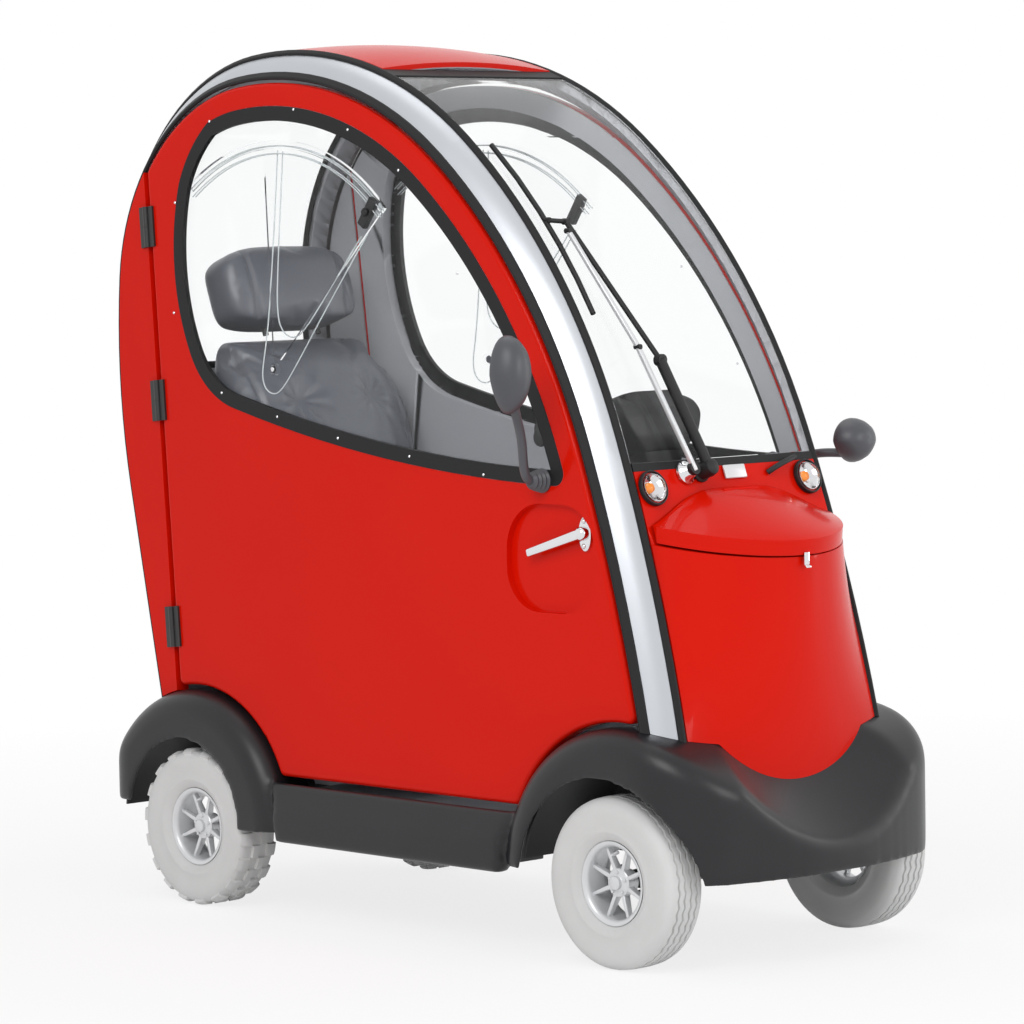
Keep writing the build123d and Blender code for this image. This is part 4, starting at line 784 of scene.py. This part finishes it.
LININGS = (  # solid, body, rule, label, thickness
    ("door_panel_right", "door_right", inwards, "_lining", LINING),
    ("door_panel_left", "door_left", inwards, "_lining", LINING),
    ("door_panel_right", "door_right", window_edge, "_edge", FILM),
    ("door_panel_left", "door_left", window_edge, "_edge", FILM),
    ("rear_quarters", "body", inwards, "_lining", LINING),
    ("side_hoops", "body", inwards, "_lining", LINING),
    ("roof_panel", "body", downwards, "_lining", LINING),
    ("rear_panel", "body", forwards, "_lining", LINING),
)
for node, body, rule, label, thickness in LININGS:
    sheet = solid_copy(node)
    pick_faces(sheet, lambda centre, normal, rule=rule: not rule(centre, normal))
    bpy.ops.mesh.delete(type="FACE")
    bpy.ops.object.mode_set(mode="OBJECT")
    press(sheet, "SOLIDIFY", thickness=thickness, offset=1.0)
    settle(sheet, node + label, body, grey_liner, smooth=30)
    print(sheet.name, len(sheet.data.polygons))

# %% [markdown]
# ## Seat
#
# Foam under vinyl swells between the places where it is sewn down. Each cushion starts a little smaller
# than its solid, gets dimples where buttons pull it in, and is then blown up as cloth with those places
# pinned. The puff is capped, so the cushion ends near the size it was drawn.

# %% Places on the seat
RAKE = radians(19)
back_out = Vector((cos(RAKE), 0, sin(RAKE)))
back_up = Vector((-sin(RAKE), 0, cos(RAKE)))
back_foot = Vector((-0.410, 0, 0.691))


def on_back(across, up):
    """Place on the front of the backrest, across the seat and up along its rake."""
    return Vector((back_foot.x, across, back_foot.z)) + back_up * up


BACK_BUTTONS = [(on_back(across, up), -back_out) for up in (0.30, 0.13) for across in (-0.095, 0.095)]
SEAT_BUTTONS = [(Vector((x, across, 0.684)), Vector((0, 0, -1)))
                for x in (-0.10, -0.28) for across in (-0.10, 0.10)]
HEAD_UP = 0.556
print("buttons:", len(BACK_BUTTONS) + len(SEAT_BUTTONS))

# %% How each cushion bulges


def ramp(value):
    """Value held between 0 and 1."""
    return min(1.0, max(0.0, value))


def back_pillow(place):
    """Backrest drawn in at its shoulders, rolled back at the top and full in the middle."""
    arm = place - back_foot
    up, out, across = arm.dot(back_up), arm.dot(back_out), place.y
    shoulder = max(0.0, (up - 0.24) / 0.22)
    full = max(0.0, 1 - (across / 0.23) ** 2) * max(0.0, 1 - ((up - 0.20) / 0.28) ** 2)
    front = ramp((out + 0.09) / 0.07)
    side = across * (1 - 0.24 * shoulder ** 2)
    out += front * (0.030 * full - 0.040 * shoulder ** 2)
    return Vector((back_foot.x, side, back_foot.z)) + back_up * up + back_out * out


def seat_pillow(place):
    """Seat cushion full in the middle."""
    full = max(0.0, 1 - (place.y / 0.24) ** 2) * max(0.0, 1 - ((place.x + 0.19) / 0.25) ** 2)
    return place + Vector((0, 0, 0.022 * full * ramp((place.z - 0.60) / 0.06)))


def head_pillow(place):
    """Headrest with rounded ends and a full front."""
    middle = on_back(0, HEAD_UP)
    arm = place - middle
    up, out, across = arm.dot(back_up), arm.dot(back_out), place.y
    end, edge = abs(across) / 0.175, abs(up) / 0.084
    front = ramp((out + 0.10) / 0.06)
    side = across * (1 - 0.10 * edge ** 4)
    narrowed = 1 - 0.26 * end ** 4
    swollen = front * 0.020 * (1 - end ** 2 * 0.8) * (1 - edge ** 2 * 0.8)
    rolled = front * 0.014 * end ** 4
    return Vector((middle.x, side, middle.z)) + back_up * up * narrowed + back_out * (out + swollen - rolled)


print("cushion shapes: 3")

# %% Cushions
CUSHION_VOXEL = 0.0075
DIMPLE_DEPTH = 0.034
DIMPLE_REACH = 0.085
PUFF_CAP = 0.024
CLOTH_FRAMES = 20
CLOTH_VALUES = {"quality": 4, "use_pressure": True, "uniform_pressure_force": 4, "tension_stiffness": 18,
                "compression_stiffness": 18, "bending_stiffness": 0.6, "vertex_group_mass": "sewn"}


def swell(soft, pinned):
    """Blows a cushion up as cloth with some points pinned, and caps how far it went."""
    start = [point.co.copy() for point in soft.data.vertices]
    sewn = soft.vertex_groups.new(name="sewn")
    sewn.add(sorted(set(pinned)), 1.0, "REPLACE")
    cloth = soft.modifiers.new("padding", "CLOTH")
    for label, value in CLOTH_VALUES.items():
        setattr(cloth.settings, label, value)
    cloth.settings.effector_weights.gravity = 0
    cloth.point_cache.frame_start = 1
    cloth.point_cache.frame_end = CLOTH_FRAMES
    for number in range(1, CLOTH_FRAMES + 1):
        scene.frame_set(number)
    take(soft)
    bpy.ops.object.modifier_apply(modifier=cloth.name)
    scene.frame_set(1)
    for point, before in zip(soft.data.vertices, start):
        step = point.co - before
        if step.length > PUFF_CAP:
            point.co = before + step.normalized() * PUFF_CAP


def puffed(node, shrink, buttons, held, pillow):
    """Cushion from a solid: remeshed, drawn to a pillow, dimpled at the buttons and swollen."""
    soft = solid_copy(node)
    low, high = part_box(node)
    middle = (Vector(low) + Vector(high)) / 2
    bpy.ops.transform.resize(value=shrink, center_override=middle)
    bpy.ops.object.transform_apply(location=True, rotation=True, scale=True)
    press(soft, "REMESH", mode="VOXEL", voxel_size=CUSHION_VOXEL)
    press(soft, "SMOOTH", factor=0.5, iterations=6)
    pinned = []
    for point in soft.data.vertices:
        point.co = pillow(point.co)
        for place, pull in buttons:
            near = (point.co - place).length / DIMPLE_REACH
            if near < 1:
                point.co += pull * DIMPLE_DEPTH * (1 - near) ** 2
                if near < 0.2:
                    pinned.append(point.index)
        if held(point.co):
            pinned.append(point.index)
    swell(soft, pinned)
    press(soft, "SUBSURF", levels=1, render_levels=1)
    return soft


def fold(soft, buttons, seam, depth_at):
    """Folds round the buttons of a raked cushion and a sewn groove down either side of its front."""
    for point in soft.data.vertices:
        if (point.co - depth_at).dot(back_out) < 0:
            continue
        for place, pull in buttons:
            arm = point.co - place
            across, up = arm.y, arm.cross(Vector((0, 1, 0))).dot(back_out)
            away = sqrt(across * across + up * up)
            if 0.012 < away < 0.100:
                fade = min(1.0, (away - 0.012) / 0.020) * (1 - (away - 0.012) / 0.088)
                point.co += back_out * 0.0028 * fade * cos(9 * atan2(up, across))
        groove = (abs(point.co.y) - seam) / 0.0055
        point.co -= back_out * 0.0055 * exp(-groove * groove)


def behind_back(place):
    """Points at the back of the backrest."""
    return (place - on_back(0, 0.1)).dot(back_out) < -0.080


def under_seat(place):
    """Points at the underside of the seat cushion."""
    return place.z < 0.600


def behind_head(place):
    """Points at the back of the headrest."""
    return (place - on_back(0, 0.55)).dot(back_out) < -0.085


CUSHIONS = (  # solid, shrink, buttons, held, pillow, place of the seams, depth down to which they show
    ("seat_backrest", (0.985, 0.97, 0.985), BACK_BUTTONS, behind_back, back_pillow, 0.178,
     on_back(0, 0.2) - back_out * 0.05),
    ("seat_cushion", (0.97, 0.97, 0.93), SEAT_BUTTONS, under_seat, seat_pillow, None, None),
    ("seat_headrest", (0.97, 0.97, 0.96), [], behind_head, head_pillow, 0.118,
     on_back(0, 0.55) - back_out * 0.06),
)
for node, shrink, buttons, held, pillow, seam, depth_at in CUSHIONS:
    soft = puffed(node, shrink, buttons, held, pillow)
    if seam:
        fold(soft, buttons, seam, depth_at)
    settle(soft, "padded_" + node, "body", seat_vinyl, (node,), smooth=70)
    print(node, len(soft.data.polygons))

# %% Buttons of the backrest
BUTTON = [(0, 0.0055), (0.005, 0.005), (0.0085, 0.003), (0.0095, 0.0), (0.0095, -0.004), (0, -0.004)]

for number, (place, pull) in enumerate(BACK_BUTTONS):
    button = stand(lathe(BUTTON, steps=24), place - pull * 0.004, -pull)
    settle(button, "back_button_" + str(number), "body", seat_vinyl)
print("buttons of the backrest:", len(BACK_BUTTONS))

# %% [markdown]
# ## Tiller
#
# The steering tiller ends in a hooded console. A square is drawn up through rows by extruding it and
# resizing each new row, and a bevel with a subdivision surface rounds it, so the hood keeps soft
# moulded edges. Grips, levers and a dial are turned and bent pieces.

# %% Tiller hood, shroud and grips
COLUMN_RAKE = radians(17)
column_up = Vector((-sin(COLUMN_RAKE), 0, cos(COLUMN_RAKE)))
column_front = Vector((cos(COLUMN_RAKE), 0, sin(COLUMN_RAKE)))
column_foot = Vector((0.555, 0, 0.342))
HOOD = (  # height, half x, half y, shift x
    (0.570, 0.042, 0.050, 0.0), (0.600, 0.058, 0.085, 0.0), (0.640, 0.064, 0.104, -0.004),
    (0.668, 0.060, 0.100, -0.010), (0.684, 0.044, 0.084, -0.014),
)
SHROUD = (
    (0.505, 0.022, 0.024, -0.004), (0.520, 0.028, 0.032, -0.004), (0.545, 0.034, 0.042, -0.004),
    (0.570, 0.042, 0.054, 0.0), (0.592, 0.046, 0.060, 0.0),
)
GRIP = [
    (0, 0.0), (0.0155, 0.0), (0.0170, 0.004), (0.0150, 0.010), (0.0158, 0.030), (0.0165, 0.060),
    (0.0158, 0.085), (0.0175, 0.090), (0.0175, 0.095), (0, 0.095),
]
DIAL = [(0, 0.010), (0.010, 0.010), (0.0125, 0.008), (0.0125, 0.0), (0, 0.0)]


def on_column(up, back_by, across):
    """Place measured up the column, back towards the driver and across."""
    return column_foot + column_up * up - column_front * back_by + Vector((0, across, 0))


def soft_block(rows):
    """Closed block on the column through rows of (height, half x, half y, shift x), with round edges."""
    clear_pick()
    bpy.ops.mesh.primitive_plane_add(size=2)
    block = bpy.context.object
    height, half_x, half_y, shift = rows[0]
    bpy.ops.object.mode_set(mode="EDIT")
    bpy.ops.mesh.select_all(action="SELECT")
    bpy.ops.transform.resize(value=(half_x, half_y, 1))
    bpy.ops.transform.translate(value=(shift, 0, height))
    for before, after in zip(rows, rows[1:]):
        step = (after[3] - before[3], 0, after[0] - before[0])
        bpy.ops.mesh.extrude_region_move(TRANSFORM_OT_translate={"value": step})
        bpy.ops.transform.resize(value=(after[1] / before[1], after[2] / before[2], 1))
    bpy.ops.mesh.select_all(action="SELECT")
    bpy.ops.mesh.normals_make_consistent(inside=False)
    bpy.ops.object.mode_set(mode="OBJECT")
    press(block, "BEVEL", width=0.008, segments=2, limit_method="ANGLE", angle_limit=radians(20))
    press(block, "SUBSURF", levels=2, render_levels=2)
    return stand(block, column_foot, column_up, column_front)


tiller_parts = [soft_block(HOOD), soft_block(SHROUD)]
for side, sign in SIDES:
    inner = on_column(0.640, 0.066, sign * 0.106)
    outer = on_column(0.640, 0.074, sign * 0.197)
    tiller_parts.append(stand(lathe(GRIP, steps=32), outer, inner - outer))
    lever_line = [on_column(0.660, 0.040, sign * 0.070), on_column(0.668, 0.075, sign * 0.090),
                  on_column(0.664, 0.098, sign * 0.150)]
    tiller_parts.append(pipe(lever_line, 0.0048))
tiller_parts.append(stand(lathe(DIAL, steps=24), on_column(0.682, 0.020, 0.0), column_up))
tiller = joined(*tiller_parts)
settle(tiller, "tiller_console", "steering", black_plastic, smooth=40)
nodes["steering_column"].data.materials.clear()
nodes["steering_column"].data.materials.append(black_plastic)
print("tiller faces:", len(tiller.data.polygons))

# %% [markdown]
# ## Mirrors
#
# A mirror head is a turned dish squeezed to an oval and drawn in towards its lower end. The glass sits
# inside the rim on the driver's side, and the stem grows out of a ribbed rubber boot on the door.

# %% Mirrors
mirror_grey = finish("mirror_grey_plastic", (0.085, 0.087, 0.098), (0.065, 0.067, 0.076), scale=15,
                     roughness=0.4, spread=0.15, grain=0.08, grain_scale=1300)
side_out = (on_side(0, 0, 1) - on_side(0, 0, 0)).normalized()
DISH_RADIUS = 0.070
DISH = [
    (0, 0.034), (0.022, 0.033), (0.040, 0.028), (0.055, 0.019), (0.065, 0.007), (0.0695, -0.004),
    (DISH_RADIUS, -0.012), (0.0685, -0.0155), (0.0660, -0.0155), (0.0645, -0.0110), (0, -0.0110),
]
PANE = [(0, -0.0128), (0.060, -0.0120), (0.0640, -0.0112), (0, -0.0108)]
BOOT = [
    (0, 0), (0.0215, 0), (0.0225, 0.004), (0.0185, 0.008), (0.0205, 0.012), (0.0165, 0.016),
    (0.0185, 0.020), (0.0145, 0.024), (0.0160, 0.028), (0.0110, 0.034), (0, 0.034),
]
MIRRORS = (  # side, mirror sign, knee, head centre, half width, half height
    ("right", 1, Vector((0.428, -0.362, 0.930)), Vector((0.457, -0.418, 1.058)), 0.040, 0.070),
    ("left", -1, Vector((0.470, 0.356, 0.885)), Vector((0.528, 0.412, 0.905)), 0.047, 0.042),
)
for side, sign, knee, centre, half_wide, half_high in MIRRORS:
    size = half_high / DISH_RADIUS
    dish, pane = [lathe([(radius * size, height) for radius, height in profile], steps=56)
                  for profile in (DISH, PANE)]
    for part in (dish, pane):
        for point in part.data.vertices:
            low = max(0.0, -point.co.x / half_high)
            point.co.y *= half_wide / half_high * (1 - 0.28 * low)
        stand(part, centre, (1, 0, 0), (0, 0, 1))
    foot = on_side(0.414, 0.862, 0.060)
    foot.y *= sign
    out = Vector((0, side_out.y * sign, side_out.z))
    boot = stand(lathe(BOOT, steps=32), foot, out)
    heel = centre - Vector((0, 0, half_high * 0.6))
    stem = pipe([foot + out * 0.026, foot + out * 0.050, knee, (knee + heel) / 2, heel], 0.0085)
    head = joined(dish, boot, stem)
    settle(head, "mirror_head_" + side, "door_" + side, mirror_grey, ("mirror_" + side,))
    settle(pane, "mirror_glass_" + side, "door_" + side, chrome)
print("mirrors:", len(MIRRORS))

# %% [markdown]
# ## Front lamps
#
# The front lenses are clear, so what shows is the bowl behind them. A faceted bowl, an amber shade off
# its middle and a black bezel are turned pieces too. The bowl has few steps on purpose, because its
# facets are what makes a reflector sparkle.

# %% Bowls, shades and bezels
amber_lens = finish("amber_lamp_shade", (0.85, 0.26, 0.02), (0.75, 0.20, 0.01), scale=40, roughness=0.25,
                    spread=0.1)
COWL_FRONT = 0.943
COWL_RISE = 0.333
COWL_X = 0.5916
COWL_Z = 0.849
cowl_out = Vector((COWL_FRONT, 0, COWL_RISE))
cowl_up = Vector((-COWL_RISE, 0, COWL_FRONT))
LAMP_Y = 0.204
BOWL = [
    (0.0255, 0.0085), (0.0215, 0.0035), (0.0120, 0.0012), (0, 0.0008), (0, -0.0015), (0.0265, -0.0015),
    (0.0265, 0.0085), (0.0255, 0.0085),
]
SHADE = [(0, 0.0085), (0.0050, 0.0078), (0.0082, 0.0055), (0.0090, 0.001), (0, 0.001)]
BEZEL = [
    (0.0292, 0.0), (0.0330, 0.0), (0.0330, 0.0055), (0.0318, 0.0080), (0.0300, 0.0085), (0.0292, 0.0075),
    (0.0292, 0.0),
]
LAMP_PARTS = (  # name, profile, steps, shift across, slot, finish, angle up to which it is smooth
    ("lamp_bowl_", BOWL, 20, 0.0, "bright_metal", chrome, 5),
    ("lamp_shade_", SHADE, 24, -0.011, "clear_lens", amber_lens, 35),
    ("lamp_bezel_", BEZEL, 56, 0.0, "black_plastic", black_plastic, 35),
)
for side, sign in SIDES:
    for name, profile, steps, shift, slot_name, paint, smooth in LAMP_PARTS:
        part = stand(lathe(profile, steps), Vector((COWL_X, sign * LAMP_Y + shift, COWL_Z)), cowl_out)
        settle(part, name + side, "body", paint, smooth=smooth)
print("lamps dressed:", len(SIDES))

# %% [markdown]
# ## Door handles
#
# The pull handle is a flat chrome lever on an upright oval plate with two bolts. The lever is a bar
# with a tapered end and a wide bevel; the plate is a turned disc squeezed to an oval. The left one is
# the mirror image.

# %% Handles
HANDLE_U = 0.511
HANDLE_V = 0.770
PLATE = [(0, 0.006), (0.0130, 0.006), (0.0155, 0.0048), (0.0165, 0.002), (0.0165, 0.0), (0, 0.0)]
PLATE_STRETCH = 2.0
BOLT = [(0, 0.0035), (0.0030, 0.0030), (0.0046, 0.0012), (0.0046, 0.0), (0, 0.0)]
KNOB = [(0, 0.0175), (0.0070, 0.0170), (0.0115, 0.0140), (0.0128, 0.0085), (0.0128, 0.0), (0, 0.0)]


def on_doors(piece, name, paint, stands_for=None, smooth=35):
    """Settles a piece on the right door and its mirror image on the left one."""
    for side, half in (("right", piece), ("left", mirrored(piece))):
        replaced = (stands_for + side,) if stands_for else ()
        settle(half, name + side, "door_" + side, paint, replaced, smooth)


plate = lathe(PLATE, steps=48)
for point in plate.data.vertices:
    point.co.x *= PLATE_STRETCH
handle_parts = [stand(plate, on_side(HANDLE_U, HANDLE_V, 0.0470), side_out, (0, 0, 1))]
for up in (-0.0225, 0.0225):
    bolt_place = on_side(HANDLE_U, HANDLE_V + up, 0.0528)
    handle_parts.append(stand(lathe(BOLT, steps=16), bolt_place, side_out))
handle_parts.append(stand(lathe(KNOB, steps=40), on_side(HANDLE_U, HANDLE_V, 0.0520), side_out))
handle_parts.append(bar(on_side(0.516, 0.7715, 0.0640), on_side(0.376, 0.7295, 0.0640), 0.0185, 0.0095,
                        (0, 0, 1), edge=0.0042, taper=0.84))
handle = joined(*handle_parts)
on_doors(handle, "pull_handle_", chrome, "door_handle_", smooth=45)
print("handle faces:", len(handle.data.polygons))

# %% [markdown]
# ## Window trim
#
# Small bright screws hold the black band of each door window. The vent is a forked acrylic blade that
# swings on a pivot under a curved channel; clear sheet shows only where its cut edges catch the light, so
# those edges get thin pipes of their own, whose pale colour is a painted highlight of that light.

# %% The vent's edges
# The pale colour of the edge pipes is a painted highlight of the light that cut acrylic edges catch.
acrylic_edge_highlight = finish("acrylic_edge_painted_highlight", (0.80, 0.84, 0.85), (0.70, 0.75, 0.77), scale=30,
                      roughness=0.12, spread=0.08, Transmission_Weight=0.45, IOR=1.3)
VENT_U = -0.341
VENT_V = 1.052
BLADE = (
    (-0.333, 1.472), (-0.346, 1.288), (-0.364, 1.110), (-0.384, 1.050), (-0.376, 1.012), (-0.341, 1.000),
    (-0.309, 1.022), (-0.187, 1.180), (-0.077, 1.308),
)
FORK = (
    (-0.318, 1.470), (-0.331, 1.288), (-0.340, 1.170), (-0.326, 1.125), (-0.288, 1.108), (-0.252, 1.128),
    (-0.174, 1.216), (-0.093, 1.305),
)
BLADE_OUT = 0.041
CHANNEL_RADII = (0.414, 0.429)
CHANNEL_OUT = (0.0370, 0.0450)
CHANNEL_ARC = [radians(126 - 82 * step / 24) for step in range(25)]

vent_parts = [pipe([on_side(u, v, BLADE_OUT) for u, v in line], 0.0013, sides=3) for line in (BLADE, FORK)]
for radius in CHANNEL_RADII:
    arc = [(VENT_U + radius * cos(angle), VENT_V + radius * sin(angle)) for angle in CHANNEL_ARC]
    for out in CHANNEL_OUT:
        vent_parts.append(pipe([on_side(u, v, out) for u, v in arc], 0.0012, sides=3))
vent_edges = joined(*vent_parts)
on_doors(vent_edges, "vent_edges_", acrylic_edge_highlight)
print("vent edge faces:", len(vent_edges.data.polygons))

# %% Screws, latch and pivot
SCREW_PLACES = (
    (-0.265, 1.5475), (-0.514, 1.532), (0.031, 1.426), (-0.620, 1.376), (-0.315, 0.962), (0.190, 1.235),
    (0.330, 1.050), (-0.625, 1.160), (-0.480, 1.005), (-0.140, 0.925), (0.060, 0.896), (0.260, 0.868),
    (-0.110, 1.505),
)
SCREW = [(0, 0.0018), (0.0017, 0.0016), (0.0027, 0.0007), (0.0027, -0.001), (0, -0.001)]
PIVOT = [(0, 0.006), (0.0035, 0.0055), (0.0060, 0.0035), (0.0072, 0.0), (0, 0.0)]
LATCH_KNOB = [(0, 0.012), (0.006, 0.0115), (0.008, 0.009), (0.008, 0), (0, 0)]
BAND_OUT = 0.0618

screws = [stand(lathe(SCREW, steps=12), on_side(u, v, BAND_OUT), side_out) for u, v in SCREW_PLACES]
screws.append(stand(lathe(PIVOT, steps=32), on_side(VENT_U, VENT_V, 0.0475), side_out))
on_doors(joined(*screws), "band_screws_", chrome)
latch = bar(on_side(-0.055, 1.374, 0.042), on_side(-0.090, 1.324, 0.042), 0.014, 0.022, side_out,
            edge=0.003)
latch_knob = stand(lathe(LATCH_KNOB, steps=24), on_side(-0.072, 1.350, 0.046), side_out)
on_doors(joined(latch, latch_knob), "vent_catch_", black_plastic)
for side, sign in SIDES:
    vent_mesh = nodes["door_vent_" + side].data
    vent_mesh.materials.clear()
    vent_mesh.materials.append(acrylic)
print("screws:", 2 * len(SCREW_PLACES))

# %% [markdown]
# ## Nose details
#
# Below the windscreen sit a pale plate, a drain slot, a washer pipe and the caps of the wiper spindles,
# with the wiper's link above them; the lid has a small hook under its rim. They are small, but they are
# what the eye finds first on a plain red panel.

# %% Plate, slot, washer pipe, caps, link and hook
BASE_CAP = [
    (0, 0.022), (0.008, 0.021), (0.013, 0.017), (0.016, 0.008), (0.021, 0.004), (0.022, 0.0), (0, 0.0),
]
SPINDLE_CAP = [
    (0, 0.040), (0.009, 0.039), (0.0145, 0.035), (0.0165, 0.026), (0.0165, 0.006), (0.020, 0.003),
    (0.020, 0.0), (0, 0.0),
]
LINK_FOOT, LINK_KNEE, LINK_TOP = (0.6096, -0.110, 0.876), (0.5179, -0.160, 1.100), (0.3707, -0.186, 1.310)
HOOK_X = 0.7755
ACROSS = (0, 1, 0)


def on_cowl(across, height, out):
    """Place on the cowl below the windscreen, out of its surface."""
    return Vector((COWL_X, across, COWL_Z)) + cowl_up * ((height - COWL_Z) / COWL_FRONT) + cowl_out * out


badge = bar(on_cowl(-0.012, 0.868, 0.002), on_cowl(0.044, 0.868, 0.002), 0.026, 0.005, cowl_up, edge=0.0022)
settle(badge, "cowl_plate", "body", rim_silver)
lip = bar(on_cowl(0.010, 0.8347, 0.0015), on_cowl(0.077, 0.8347, 0.0015), 0.007, 0.004, cowl_up, edge=0.0018)
settle(lip, "drain_slot_lip", "body", chrome)
washer = pipe([on_cowl(0.104, 0.862, 0.0), on_cowl(0.110, 0.866, 0.010), on_cowl(0.132, 0.874, 0.016),
               on_cowl(0.176, 0.884, 0.010)], 0.0052)
settle(washer, "washer_pipe", "body", black_plastic)
base_cap = stand(lathe(BASE_CAP, steps=40), on_cowl(-0.110, 0.872, 0.0), cowl_out)
settle(base_cap, "wiper_base_cap", "body", chrome)
spindle_cap = stand(lathe(SPINDLE_CAP, steps=40), on_cowl(-0.072, 0.872, 0.0), cowl_out)
settle(spindle_cap, "wiper_spindle_cap", "body", black_plastic)
link = joined(bar(LINK_FOOT, LINK_KNEE, 0.0095, 0.0095, ACROSS, edge=0.003),
              bar(LINK_KNEE, LINK_TOP, 0.0090, 0.0090, ACROSS, edge=0.003))
settle(link, "wiper_link", "body", rim_silver)
hook = joined(bar((HOOK_X, 0, 0.7300), (HOOK_X, 0, 0.7060), 0.013, 0.003, ACROSS, edge=0.0010),
              bar((HOOK_X, 0, 0.7075), (0.7812, 0, 0.7030), 0.013, 0.003, ACROSS, edge=0.0010))
settle(hook, "lid_hook", "lid", chrome)
print("nose details: 7")
